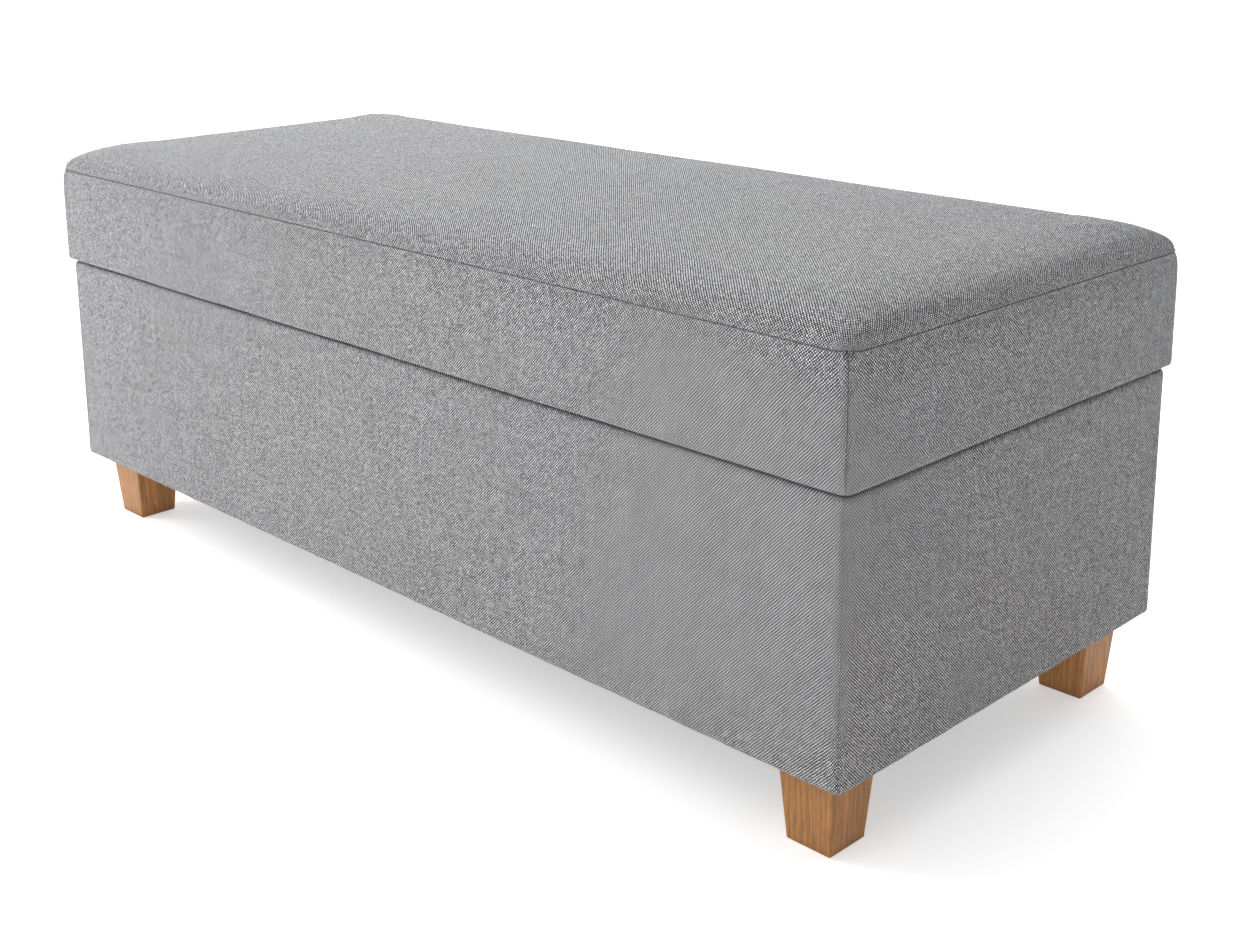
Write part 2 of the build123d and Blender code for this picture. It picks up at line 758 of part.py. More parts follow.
open_turn = math.radians(lid_open_angle)
eye_y = -strut_lid_back * math.cos(open_turn) - strut_lid_drop * math.sin(open_turn)
eye_z = strut_lid_back * math.sin(open_turn) - strut_lid_drop * math.cos(open_turn)
open_run = eye_y + strut_base_back
open_rise = eye_z + strut_base_drop
stroke = math.hypot(open_run, open_rise) - strut_closed_length
turn = math.atan2(open_run, open_rise) - math.atan2(strut_run, strut_rise)
print("nodes", len(parts))
print("hinge line y, z", round(hinge_y, 3), round(hinge_z, 3))
print("strut x, foot y, z", round(strut_x, 3), round(strut_base_y, 3), round(strut_base_z, 3))
print("strut axis", round(strut_run / strut_closed_length, 6), round(strut_rise / strut_closed_length, 6))
print("strut stroke", round(stroke, 4), "turn", round(math.degrees(turn), 4))
print("ratios", round(turn / open_turn, 6), round(stroke / 1000 / open_turn, 6))
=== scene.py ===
"""Upholstered storage bench: covers, padding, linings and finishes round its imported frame."""

import logging
import math
from collections.abc import Callable, Iterable, Mapping, Sequence
from dataclasses import dataclass, field
from enum import Enum

import bmesh
import bpy
from mathutils import Matrix, Vector, noise
from mathutils.bvhtree import BVHTree


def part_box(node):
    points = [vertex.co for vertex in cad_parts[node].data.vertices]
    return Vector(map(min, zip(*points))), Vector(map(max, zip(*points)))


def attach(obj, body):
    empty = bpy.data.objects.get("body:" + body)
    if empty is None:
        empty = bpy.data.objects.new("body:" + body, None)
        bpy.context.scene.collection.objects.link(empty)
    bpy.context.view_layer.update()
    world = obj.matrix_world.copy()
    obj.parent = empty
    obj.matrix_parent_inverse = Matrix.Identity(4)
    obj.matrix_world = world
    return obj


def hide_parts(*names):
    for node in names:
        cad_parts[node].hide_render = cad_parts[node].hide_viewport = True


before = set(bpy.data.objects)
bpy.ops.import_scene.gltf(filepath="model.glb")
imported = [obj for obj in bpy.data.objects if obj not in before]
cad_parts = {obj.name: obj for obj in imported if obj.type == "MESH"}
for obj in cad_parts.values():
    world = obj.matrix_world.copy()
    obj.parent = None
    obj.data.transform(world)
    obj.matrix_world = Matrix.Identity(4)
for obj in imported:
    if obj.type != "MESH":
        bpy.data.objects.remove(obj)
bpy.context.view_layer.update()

CUT_MAP = "CutCloth"
MM = 0.001

Colour = tuple[float, float, float, float]
Socket = bpy.types.NodeSocket
Placement = Callable[[float, float], Vector]
Relief = Callable[[float, float], float]

log = logging.getLogger("storage_bench")


class Side(Enum):
    """The four upright sides of the bench, with their quarter turns from the front."""

    FRONT = 0
    RIGHT = 1
    BACK = 2
    LEFT = 3

    @property
    def word(self) -> str:
        """The side's name as it stands in node and piece names."""
        return self.name.lower()

    @property
    def turn(self) -> Matrix:
        """The turn that carries a front panel onto this side."""
        return Matrix.Rotation(self.value * math.pi / 2, 4, "Z")


class Grain(Enum):
    """The axis that a length of timber's grain follows."""

    ALONG_X = "X"
    ALONG_Y = "Y"
    ALONG_Z = "Z"


# ---------------------------------------------------------------- shader helpers


class Graph:
    """Places and joins the nodes of one shader tree."""

    def __init__(self, tree: bpy.types.NodeTree) -> None:
        """Keeps the tree that every later call adds to."""
        self.tree = tree

    def node(self, kind: str, inputs: Mapping | None = None, **settings) -> bpy.types.Node:
        """Adds one node.

        Args:
            kind: The node's type without its "ShaderNode" prefix.
            inputs: Input name or number to a value, or to the socket that feeds it.
            **settings: Properties of the node itself.

        Returns:
            The new node.
        """
        made = self.tree.nodes.new("ShaderNode" + kind)
        for key, value in settings.items():
            setattr(made, key, value)
        for key, value in (inputs or {}).items():
            if isinstance(value, bpy.types.NodeSocket):
                self.tree.links.new(value, made.inputs[key])
            else:
                made.inputs[key].default_value = value
        return made

    def math(self, operation: str, *values: float | Socket, clamp: bool = False) -> Socket:
        """Returns the result of one arithmetic node on the given values."""
        made = self.node("Math", dict(enumerate(values)), operation=operation, use_clamp=clamp)
        return made.outputs[0]

    def vector(self, operation: str, *values, scale: float | Socket | None = None) -> Socket:
        """Returns the vector that one vector arithmetic node gives."""
        inputs = dict(enumerate(values))
        if scale is not None:
            inputs["Scale"] = scale
        return self.node("VectorMath", inputs, operation=operation).outputs[0]

    def blend(self, share: float | Socket, low, high, mode: str = "MIX") -> Socket:
        """Returns a colour that goes from low to high with share."""
        made = self.node("Mix", {0: share, 6: low, 7: high}, data_type="RGBA", blend_type=mode)
        return made.outputs[2]

    def ranged(self, value: Socket, low: float, high: float, to_low: float, to_high: float) -> Socket:
        """Returns value carried from one range to another, held at its ends."""
        inputs = {0: value, 1: low, 2: high, 3: to_low, 4: to_high}
        return self.node("MapRange", inputs).outputs[0]

    def noise(self, vector: Socket, scale: float, detail: float = 2.0, rough: float = 0.5) -> Socket:
        """Returns a cloud value from 0 to 1 at so many clouds per metre."""
        inputs = {"Vector": vector, "Scale": scale, "Detail": detail, "Roughness": rough}
        return self.node("TexNoise", inputs).outputs[0]

    def group(self, tree: bpy.types.NodeTree, inputs: Mapping) -> bpy.types.Node:
        """Places a shared effect with its own values and returns its node."""
        made = self.tree.nodes.new("ShaderNodeGroup")
        made.node_tree = tree
        for key, value in inputs.items():
            if isinstance(value, bpy.types.NodeSocket):
                self.tree.links.new(value, made.inputs[key])
            else:
                made.inputs[key].default_value = value
        return made


@dataclass
class Effect:
    """A shared shader effect with named inputs and outputs."""

    name: str
    inputs: Mapping[str, float | None]
    outputs: Sequence[str]
    tree: bpy.types.NodeTree = field(init=False)
    graph: Graph = field(init=False)

    def __post_init__(self) -> None:
        """Makes the group's tree; an input of None is a vector and any other a number."""
        self.tree = bpy.data.node_groups.new(self.name, "ShaderNodeTree")
        self.graph = Graph(self.tree)
        for name, value in self.inputs.items():
            kind = "NodeSocketVector" if value is None else "NodeSocketFloat"
            socket = self.tree.interface.new_socket(name=name, in_out="INPUT", socket_type=kind)
            if value is not None:
                socket.default_value = value
        for name in self.outputs:
            self.tree.interface.new_socket(
                name=name, in_out="OUTPUT", socket_type="NodeSocketFloat")
        self.given = self.tree.nodes.new("NodeGroupInput").outputs
        self.result = self.tree.nodes.new("NodeGroupOutput")

    def put_out(self, **values: Socket) -> bpy.types.NodeTree:
        """Joins the named values to the group's outputs and returns its tree."""
        for name, value in values.items():
            self.tree.links.new(value, self.result.inputs[name.replace("_", " ")])
        return self.tree


def weave_effect() -> bpy.types.NodeTree:
    """Builds the plain weave: pale warp yarns that cross dark weft yarns one over, one under.

    Returns:
        A group whose Pale is the share of pale yarn, Relief the yarns' rise, Shade a
        random tone for each crossing, Slub the long uneven yarns and Mottle the small
        patches where several crossings run light or dark.
    """
    effect = Effect(
        "Plain weave",
        {"Vector": None, "Yarn": 0.0014, "Wobble": 0.28},
        ("Pale", "Relief", "Shade", "Slub", "Mottle"),
    )
    graph, given = effect.graph, effect.given
    rate = graph.math("DIVIDE", 1.0, given["Yarn"])
    drift = graph.node("TexNoise", {"Vector": given["Vector"], "Scale": 270.0, "Detail": 2.0})
    centred = graph.vector("SUBTRACT", drift.outputs["Color"], (0.5, 0.5, 0.5))
    count = graph.vector("SCALE", given["Vector"], scale=rate)
    shift = graph.vector("SCALE", centred, scale=graph.math("MULTIPLY", given["Wobble"], 4.0))
    place = graph.node("SeparateXYZ", {0: graph.vector("ADD", count, shift)}).outputs
    across, along = place[0], place[1]
    across_cell = graph.math("FLOOR", across)
    along_cell = graph.math("FLOOR", along)
    across_rest = graph.math("SUBTRACT", graph.math("FRACT", across), 0.5)
    along_rest = graph.math("SUBTRACT", graph.math("FRACT", along), 0.5)
    over = graph.math("FLOORED_MODULO", graph.math("ADD", across_cell, along_cell), 2.0)
    under = graph.math("SUBTRACT", 1.0, over)

    def mixed(first: Socket, second: Socket) -> Socket:
        """Takes first where the warp lies on top and second elsewhere."""
        return graph.math("ADD", graph.math("MULTIPLY", first, over), graph.math("MULTIPLY", second, under))

    width = mixed(across_rest, along_rest)
    length = mixed(along_rest, across_rest)
    round_off = graph.math("MULTIPLY", graph.math("MULTIPLY", width, width), 3.6)
    dive = graph.math("MULTIPLY", graph.math("MULTIPLY", length, length), 2.6)
    crown = graph.math("SUBTRACT", 1.0, graph.math("ADD", round_off, dive), clamp=True)
    cell = graph.node("CombineXYZ", {0: across_cell, 1: along_cell}).outputs[0]
    random_cell = graph.node("TexWhiteNoise", {"Vector": cell}).outputs["Value"]
    stretched = graph.vector("MULTIPLY", given["Vector"], (150.0, 8.0, 1.0))
    slub_up = graph.noise(stretched, 1.0, 4.0, 0.7)
    stretched = graph.vector("MULTIPLY", given["Vector"], (9.0, 150.0, 1.0))
    slub_across = graph.noise(stretched, 1.0, 4.0, 0.7)
    slub = graph.math("MULTIPLY", graph.math("ADD", slub_up, slub_across), 0.5)
    mottle = graph.noise(given["Vector"], 210.0, 3.0, 0.8)
    fluff = graph.noise(given["Vector"], 2600.0, 2.0, 0.6)
    pale = graph.math("MULTIPLY", over, graph.ranged(crown, 0.14, 0.62, 0.03, 1.0))
    relief = graph.math("ADD", crown, graph.math("MULTIPLY", fluff, 0.25))
    return effect.put_out(Pale=pale, Relief=relief, Shade=random_cell, Slub=slub, Mottle=mottle)


def grain_effect() -> bpy.types.NodeTree:
    """Builds wood grain that runs along Z of the vector it is given.

    Returns:
        A group whose Rings are the growth bands, Pores the short dark dashes, Streaks
        the broken lights and darks between them and Stave a random tone for each glued
        stave.
    """
    effect = Effect(
        "Wood grain",
        {"Vector": None, "Ring Width": 0.004, "Stave Width": 1.0, "Waviness": 0.5},
        ("Rings", "Pores", "Streaks", "Stave"),
    )
    graph, given = effect.graph, effect.given
    place = graph.node("SeparateXYZ", {0: given["Vector"]}).outputs
    stave_cell = graph.math("FLOOR", graph.math("DIVIDE", place[1], given["Stave Width"]))
    stave = graph.node("TexWhiteNoise", {"W": stave_cell}, noise_dimensions="1D").outputs["Value"]
    slow = graph.vector("MULTIPLY", given["Vector"], (1.0, 1.0, 0.14))
    bend = graph.noise(slow, 26.0, 3.0, 0.55)
    fan = graph.math("ADD", graph.math("MULTIPLY", place[0], 0.86), graph.math("MULTIPLY", place[1], 0.5))
    depth = graph.math("DIVIDE", fan, given["Ring Width"])
    wander = graph.math("MULTIPLY", graph.math("MULTIPLY", bend, given["Waviness"]), 9.0)
    moved = graph.math("ADD", graph.math("ADD", depth, wander), graph.math("MULTIPLY", stave, 7.3))
    rings = graph.math("POWER", graph.math("FRACT", moved), 1.7)
    dashes = graph.vector("MULTIPLY", given["Vector"], (1900.0, 1900.0, 62.0))
    fibre = graph.noise(dashes, 1.0, 2.0, 0.5)
    pores = graph.ranged(fibre, 0.54, 0.7, 0.0, 1.0)
    broken = graph.vector("MULTIPLY", given["Vector"], (430.0, 430.0, 36.0))
    streaks = graph.noise(broken, 1.0, 3.0, 0.65)
    return effect.put_out(Rings=rings, Pores=pores, Streaks=streaks, Stave=stave)


def wear_effect() -> bpy.types.NodeTree:
    """Builds handling marks: broad cloudy dulling and fine scuffs.

    Returns:
        A group whose Clouds are broad patches and Scuffs sparse fine marks.
    """
    effect = Effect("Handling wear", {"Vector": None, "Patch": 0.06}, ("Clouds", "Scuffs"))
    graph, given = effect.graph, effect.given
    rate = graph.math("DIVIDE", 1.0, given["Patch"])
    clouds = graph.node("TexNoise", {"Vector": given["Vector"], "Scale": rate, "Detail": 4.0}).outputs[0]
    turned = graph.node("Mapping", {"Vector": given["Vector"], "Rotation": (0.6, 0.3, 0.9)}).outputs[0]
    thin = graph.vector("MULTIPLY", turned, (900.0, 900.0, 70.0))
    scuffs = graph.ranged(graph.noise(thin, 1.0, 3.0, 0.6), 0.62, 0.75, 0.0, 1.0)
    return effect.put_out(Clouds=clouds, Scuffs=scuffs)


def fleece_effect() -> bpy.types.NodeTree:
    """Builds matted fibre, as in bonded lining cloth and wadding.

    Returns:
        A group whose Fibres are the fine strands and Tufts the broader lumps.
    """
    effect = Effect("Matted fibre", {"Vector": None, "Fibre": 0.0005}, ("Fibres", "Tufts"))
    graph, given = effect.graph, effect.given
    rate = graph.math("DIVIDE", 1.0, given["Fibre"])
    count = graph.vector("SCALE", given["Vector"], scale=rate)
    one_way = graph.noise(graph.vector("MULTIPLY", count, (1.0, 0.16, 1.0)), 1.0, 2.0, 0.6)
    other_way = graph.noise(graph.vector("MULTIPLY", count, (0.16, 1.0, 1.0)), 1.0, 2.0, 0.6)
    fibres = graph.math("MAXIMUM", one_way, other_way)
    tufts = graph.noise(count, 0.09, 3.0, 0.6)
    return effect.put_out(Fibres=fibres, Tufts=tufts)


@dataclass
class Effects:
    """The shared shader effects, each built once."""

    weave: bpy.types.NodeTree = field(default_factory=weave_effect)
    grain: bpy.types.NodeTree = field(default_factory=grain_effect)
    wear: bpy.types.NodeTree = field(default_factory=wear_effect)
    fleece: bpy.types.NodeTree = field(default_factory=fleece_effect)


# ---------------------------------------------------------------- finishes


def empty_material(name: str) -> tuple[bpy.types.Material, Graph, bpy.types.Node]:
    """Makes a node material that holds one Principled shader.

    Args:
        name: The material's name.

    Returns:
        The material, its graph and its Principled node.
    """
    made = bpy.data.materials.new(name)
    made.use_nodes = True
    shader = made.node_tree.nodes["Principled BSDF"]
    return made, Graph(made.node_tree), shader


@dataclass(frozen=True)
class ClothFinish:
    """Grey flecked upholstery cloth of pale and charcoal yarns."""

    name: str
    effects: Effects
    pale: Colour = (0.88, 0.88, 0.89, 1.0)
    charcoal: Colour = (0.016, 0.017, 0.020, 1.0)
    yarn: float = 1.45 * MM
    relief: float = 0.34 * MM

    def make(self) -> bpy.types.Material:
        """Returns the woven material, which follows each panel's own cut, with painted shade between its yarns."""
        made, graph, shader = empty_material(self.name)
        cut = graph.node("UVMap", uv_map=CUT_MAP).outputs[0]
        weave = graph.group(self.effects.weave, {"Vector": cut, "Yarn": self.yarn}).outputs
        flecked = graph.ranged(weave["Shade"], 0.0, 1.0, 0.58, 1.4)
        charcoal_fleck = graph.ranged(weave["Shade"], 0.75, 1.0, 0.0, 0.24)
        share = graph.math("MULTIPLY", weave["Pale"], flecked)
        share = graph.math("MAXIMUM", share, charcoal_fleck, clamp=True)
        yarns = graph.blend(share, self.charcoal, self.pale)
        slubs = graph.ranged(weave["Slub"], 0.3, 0.7, 0.85, 1.15)
        mottle = graph.ranged(weave["Mottle"], 0.25, 0.75, 0.6, 1.38)
        # Painted shade: the low places between the yarns are darkened, and the yarn crowns are lifted a little as
        # painted light.
        hollow = graph.ranged(weave["Relief"], 0.0, 0.7, 0.42, 1.04)
        tone = graph.math("MULTIPLY", graph.math("MULTIPLY", slubs, mottle), hollow)
        tint = graph.node("CombineColor", {0: tone, 1: tone, 2: tone}).outputs[0]
        colour = graph.blend(1.0, yarns, tint, "MULTIPLY")
        place = graph.node("TexCoord").outputs["Object"]
        wear = graph.group(self.effects.wear, {"Vector": place, "Patch": 0.2}).outputs
        rough = graph.ranged(wear["Clouds"], 0.3, 0.7, 0.82, 0.96)
        bump = graph.node("Bump", {"Height": weave["Relief"], "Distance": self.relief, "Strength": 0.8})
        join = graph.tree.links.new
        join(colour, shader.inputs["Base Color"])
        join(rough, shader.inputs["Roughness"])
        join(bump.outputs[0], shader.inputs["Normal"])
        shader.inputs["Sheen Weight"].default_value = 0.08
        shader.inputs["Sheen Roughness"].default_value = 0.5
        shader.inputs["Specular IOR Level"].default_value = 0.25
        return made


@dataclass(frozen=True)
class FleeceFinish:
    """Bonded fibre cloth or wadding in one tone."""

    name: str
    effects: Effects
    low: Colour
    high: Colour
    fibre: float = 0.5 * MM
    relief: float = 0.25 * MM
    sheen: float = 0.1

    def make(self) -> bpy.types.Material:
        """Returns the matted material."""
        made, graph, shader = empty_material(self.name)
        place = graph.node("TexCoord").outputs["Object"]
        fleece = graph.group(self.effects.fleece, {"Vector": place, "Fibre": self.fibre}).outputs
        strands = graph.ranged(fleece["Fibres"], 0.42, 0.72, 0.0, 1.0)
        lumps = graph.ranged(fleece["Tufts"], 0.3, 0.7, 0.25, 0.75)
        share = graph.math("MULTIPLY", graph.math("ADD", strands, lumps), 0.5)
        bump = graph.node("Bump", {"Height": share, "Distance": self.relief, "Strength": 0.7})
        join = graph.tree.links.new
        join(graph.blend(share, self.low, self.high), shader.inputs["Base Color"])
        join(graph.ranged(fleece["Tufts"], 0.3, 0.7, 0.85, 0.98), shader.inputs["Roughness"])
        join(bump.outputs[0], shader.inputs["Normal"])
        shader.inputs["Sheen Weight"].default_value = self.sheen
        return made


@dataclass(frozen=True)
class WoodFinish:
    """Sawn or planed timber, bare or oiled."""

    name: str
    effects: Effects
    early: Colour
    late: Colour
    grain: Grain = Grain.ALONG_Z
    ring: float = 4.0 * MM
    stave: float = 1.0
    stave_tone: float = 0.0
    gloss: float = 0.5
    # The height over which the colour grows darker towards the bottom of the piece.
    foot_darkening: float = 0.0

    def make(self) -> bpy.types.Material:
        """Returns the grained material, its grain along the finish's axis."""
        made, graph, shader = empty_material(self.name)
        place = graph.node("TexCoord").outputs["Object"]
        turns = {
            Grain.ALONG_X: (0.0, math.pi / 2, 0.0),
            Grain.ALONG_Y: (math.pi / 2, 0.0, 0.0),
            Grain.ALONG_Z: (0.0, 0.0, 0.0),
        }
        turned = graph.node("Mapping", {"Vector": place, "Rotation": turns[self.grain]}).outputs[0]
        inputs = {"Vector": turned, "Ring Width": self.ring, "Stave Width": self.stave}
        grain = graph.group(self.effects.grain, inputs).outputs
        wear = graph.group(self.effects.wear, {"Vector": place, "Patch": 0.03}).outputs
        bands = graph.ranged(grain["Rings"], 0.0, 1.0, 0.05, 0.62)
        share = graph.math("ADD", bands, graph.math("MULTIPLY", grain["Pores"], 0.3), clamp=True)
        timber = graph.blend(share, self.early, self.late)
        low, high = 1.0 - self.stave_tone, 1.0 + self.stave_tone
        staves = graph.ranged(grain["Stave"], 0.0, 1.0, low, high)
        streaks = graph.ranged(grain["Streaks"], 0.3, 0.7, 0.76, 1.2)
        clouds = graph.ranged(wear["Clouds"], 0.3, 0.7, 0.95, 1.05)
        tone = graph.math("MULTIPLY", graph.math("MULTIPLY", staves, streaks), clouds)
        # Darker towards the bottom: colour falls to 0.72 at the floor and is full again at this height.
        if self.foot_darkening > 0:
            height = graph.node("SeparateXYZ", {0: place}).outputs[2]
            foot = graph.ranged(height, 0.0, self.foot_darkening, 0.72, 1.0)
            tone = graph.math("MULTIPLY", tone, foot)
        tint = graph.node("CombineColor", {0: tone, 1: tone, 2: tone}).outputs[0]
        rough = graph.math(
            "ADD", graph.ranged(wear["Clouds"], 0.3, 0.7, self.gloss - 0.06, self.gloss + 0.08),
            graph.math("MULTIPLY", wear["Scuffs"], 0.1), clamp=True)
        rise = graph.math("SUBTRACT", 1.0, graph.math("MULTIPLY", grain["Pores"], 0.8))
        bump = graph.node("Bump", {"Height": rise, "Distance": 0.12 * MM, "Strength": 0.6})
        join = graph.tree.links.new
        join(graph.blend(1.0, timber, tint, "MULTIPLY"), shader.inputs["Base Color"])
        join(rough, shader.inputs["Roughness"])
        join(bump.outputs[0], shader.inputs["Normal"])
        shader.inputs["Specular IOR Level"].default_value = 0.4
        return made


@dataclass(frozen=True)
class BoardFinish:
    """Pressed chipboard with its flakes showing."""

    name: str
    effects: Effects
    low: Colour = (0.30, 0.19, 0.10, 1.0)
    high: Colour = (0.56, 0.41, 0.24, 1.0)
    flake: float = 3.0 * MM

    def make(self) -> bpy.types.Material:
        """Returns the flaked material."""
        made, graph, shader = empty_material(self.name)
        place = graph.node("TexCoord").outputs["Object"]
        inputs = {"Vector": place, "Scale": 1.0 / self.flake, "Randomness": 1.0}
        flakes = graph.node("TexVoronoi", inputs)
        tone = graph.node("SeparateColor", {0: flakes.outputs["Color"]}).outputs[0]
        dust = graph.noise(place, 1400.0, 3.0, 0.7)
        share = graph.math("ADD", graph.math("MULTIPLY", tone, 0.6), graph.math("MULTIPLY", dust, 0.5), clamp=True)
        wear = graph.group(self.effects.wear, {"Vector": place, "Patch": 0.08}).outputs
        bump = graph.node("Bump", {"Height": share, "Distance": 0.15 * MM, "Strength": 0.5})
        join = graph.tree.links.new
        join(graph.blend(share, self.low, self.high), shader.inputs["Base Color"])
        join(graph.ranged(wear["Clouds"], 0.3, 0.7, 0.66, 0.84), shader.inputs["Roughness"])
        join(bump.outputs[0], shader.inputs["Normal"])
        return made


@dataclass(frozen=True)
class MetalFinish:
    """Plated, polished or painted metal."""

    name: str
    effects: Effects
    colour: Colour
    dull: Colour
    metallic: float = 1.0
    rough: float = 0.32
    spread: float = 0.12
    patch: float = 4.0 * MM
    coat: float = 0.0

    def make(self) -> bpy.types.Material:
        """Returns the metal with its clouds and scuffs."""
        made, graph, shader = empty_material(self.name)
        place = graph.node("TexCoord").outputs["Object"]
        wear = graph.group(self.effects.wear, {"Vector": place, "Patch": self.patch}).outputs
        share = graph.ranged(wear["Clouds"], 0.35, 0.65, 0.0, 1.0)
        low, high = self.rough - self.spread / 2, self.rough + self.spread / 2
        rough = graph.math(
            "ADD", graph.ranged(wear["Clouds"], 0.3, 0.7, low, high),
            graph.math("MULTIPLY", wear["Scuffs"], 0.12), clamp=True)
        bump = graph.node("Bump", {"Height": wear["Clouds"], "Distance": 0.04 * MM, "Strength": 0.4})
        join = graph.tree.links.new
        join(graph.blend(share, self.colour, self.dull), shader.inputs["Base Color"])
        join(rough, shader.inputs["Roughness"])
        join(bump.outputs[0], shader.inputs["Normal"])
        shader.inputs["Metallic"].default_value = self.metallic
        shader.inputs["Coat Weight"].default_value = self.coat
        return made


@dataclass(frozen=True)
class MouldedFinish:
    """Moulded plastic or rubber with a spark-eroded grain."""

    name: str
    effects: Effects
    colour: Colour
    rough: float = 0.5
    pebble: float = 0.35 * MM

    def make(self) -> bpy.types.Material:
        """Returns the moulded material."""
        made, graph, shader = empty_material(self.name)
        place = graph.node("TexCoord").outputs["Object"]
        pebbles = graph.noise(place, 1.0 / self.pebble, 2.0, 0.5)
        wear = graph.group(self.effects.wear, {"Vector": place, "Patch": 6.0 * MM}).outputs
        pale = tuple(min(1.0, 1.5 * part + 0.01) for part in self.colour[:3]) + (1.0,)
        share = graph.math("MULTIPLY", wear["Scuffs"], 0.5)
        bump = graph.node("Bump", {"Height": pebbles, "Distance": 0.05 * MM, "Strength": 0.5})
        join = graph.tree.links.new
        join(graph.blend(share, self.colour, pale), shader.inputs["Base Color"])
        join(graph.ranged(wear["Clouds"], 0.3, 0.7, self.rough - 0.06, self.rough + 0.08),
             shader.inputs["Roughness"])
        join(bump.outputs[0], shader.inputs["Normal"])
        return made


# ---------------------------------------------------------------- mesh helpers


@dataclass(frozen=True)
class Bend:
    """A corner of a section path: inset from the outer face, height and corner radius."""

    inset: float
    height: float
    radius: float = 0.0


class Section:
    """A rounded path through bends, read by its own length."""

    STEPS = 8

    def __init__(self, bends: Sequence[Bend]) -> None:
        """Rounds each inner bend and measures the path.

        Args:
            bends: The path's corners in order.
        """
        corners = [Vector((bend.inset, bend.height)) for bend in bends]
        points = [corners[0]]
        for index in range(1, len(bends) - 1):
            before, here, after = corners[index - 1], corners[index], corners[index + 1]
            radius = bends[index].radius
            if radius <= 0:
                points.append(here)
                continue
            back, on = (before - here).normalized(), (after - here).normalized()
            half_turn = (math.pi - back.angle(on)) / 2
            cut = radius * math.tan(half_turn)
            start, end = here + back * cut, here + on * cut
            for step in range(self.STEPS + 1):
                share = step / self.STEPS
                first = start.lerp(here, share)
                points.append(first.lerp(here.lerp(end, share), share))
        points.append(corners[-1])
        self.points = points
        self.lengths = [0.0]
        for first, second in zip(points, points[1:]):
            self.lengths.append(self.lengths[-1] + (second - first).length)

    @property
    def length(self) -> float:
        """The whole path's length."""
        return self.lengths[-1]

    def at(self, distance: float) -> tuple[float, float]:
        """Returns the inset and height at a distance along the path."""
        distance = min(max(distance, 0.0), self.length)
        low, high = 0, len(self.lengths) - 1
        while high - low > 1:
            middle = (low + high) // 2
            if self.lengths[middle] <= distance:
                low = middle
            else:
                high = middle
        span = self.lengths[high] - self.lengths[low]
        share = (distance - self.lengths[low]) / span if span > 0 else 0.0
        place = self.points[low].lerp(self.points[high], share)
        return place.x, place.y


def stations(total: float, spots: Iterable[float], fine: float, coarse: float, reach: float) -> list[float]:
    """Spaces rows of cloth, close by the places that bend and wide elsewhere.

    Args:
        total: The length to cover, from 0.
        spots: Distances that need close rows.
        fine: The row spacing at a spot.
        coarse: The row spacing far from one.
        reach: The distance over which the spacing grows.

    Returns:
        Rising distances from 0 to total.
    """
    spots = list(spots)
    rows = [0.0]
    while rows[-1] < total:
        away = min((abs(rows[-1] - spot) for spot in spots), default=reach)
        rows.append(rows[-1] + fine + (coarse - fine) * min(1.0, away / reach))
    return [row * total / rows[-1] for row in rows]


def cut_cloth(across: Sequence[float], along: Sequence[float]) -> bmesh.types.BMesh:
    """Cuts a flat rectangle of cloth and marks its own measure on it.

    Args:
        across: The places of its columns.
        along: The places of its rows.

    Returns:
        A mesh in the XY plane with the flat place of each point in its cloth map.
    """
    cloth = bmesh.new()
    columns, rows = len(across) - 1, len(along) - 1
    bmesh.ops.create_grid(cloth, x_segments=columns, y_segments=rows, size=0.5)
    for vert in cloth.verts:
        column = round((vert.co.x + 0.5) * columns)
        row = round((vert.co.y + 0.5) * rows)
        vert.co = (across[column], along[row], 0.0)
    layer = cloth.loops.layers.uv.new(CUT_MAP)
    for face in cloth.faces:
        for loop in face.loops:
            loop[layer].uv = loop.vert.co.xy
    return cloth


def lay_cloth(cloth: bmesh.types.BMesh, place: Placement, relief: Relief, swell: "Swell | None" = None) -> None:
    """Carries flat cloth onto its form, then raises its folds and puckers.

    Args:
        cloth: The flat cloth from cut_cloth.
        place: Flat place to the form's surface.
        relief: Flat place to the rise above the form.
        swell: The padding's swelling, which the cloth follows.
    """
    flats = [vert.co.xy for vert in cloth.verts]
    for vert, flat in zip(cloth.verts, flats):
        vert.co = place(flat.x, flat.y)
    cloth.normal_update()
    normals = [vert.normal.copy() for vert in cloth.verts]
    for vert, flat, normal in zip(cloth.verts, flats, normals):
        push = swell.at(vert.co) if swell else Vector()
        vert.co += push + normal * relief(flat.x, flat.y)
    cloth.normal_update()


def rounded_plan(x: float, y: float, half_x: float, half_y: float, radius: float) -> tuple[float, float]:
    """Moves a plan point of a square-cornered outline to the same outline with round corners.

    Args:
        x: The point's place along the length.
        y: The point's place along the width.
        half_x: Half the outline's length.
        half_y: Half the outline's width.
        radius: The corner radius.

    Returns:
        The moved point.
    """
    across = (abs(x) - half_x + radius) / radius
    deep = (abs(y) - half_y + radius) / radius
    if across <= 0 or deep <= 0:
        return x, y
    across, deep = min(across, 1.0), min(deep, 1.0)
    new_x = half_x - radius + radius * across * math.sqrt(1 - deep * deep / 2)
    new_y = half_y - radius + radius * deep * math.sqrt(1 - across * across / 2)
    return math.copysign(new_x, x), math.copysign(new_y, y)


def waves(place: Vector, length: float, seed: float) -> float:
    """Returns smooth seeded noise from about -1 to 1 with waves of that length."""
    return noise.noise(place / length + Vector((seed, 2.7 * seed, 1.3 * seed)))


def eased(share: float) -> float:
    """Returns share from 0 to 1 with soft ends."""
    share = min(max(share, 0.0), 1.0)
    return share * share * (3 - 2 * share)


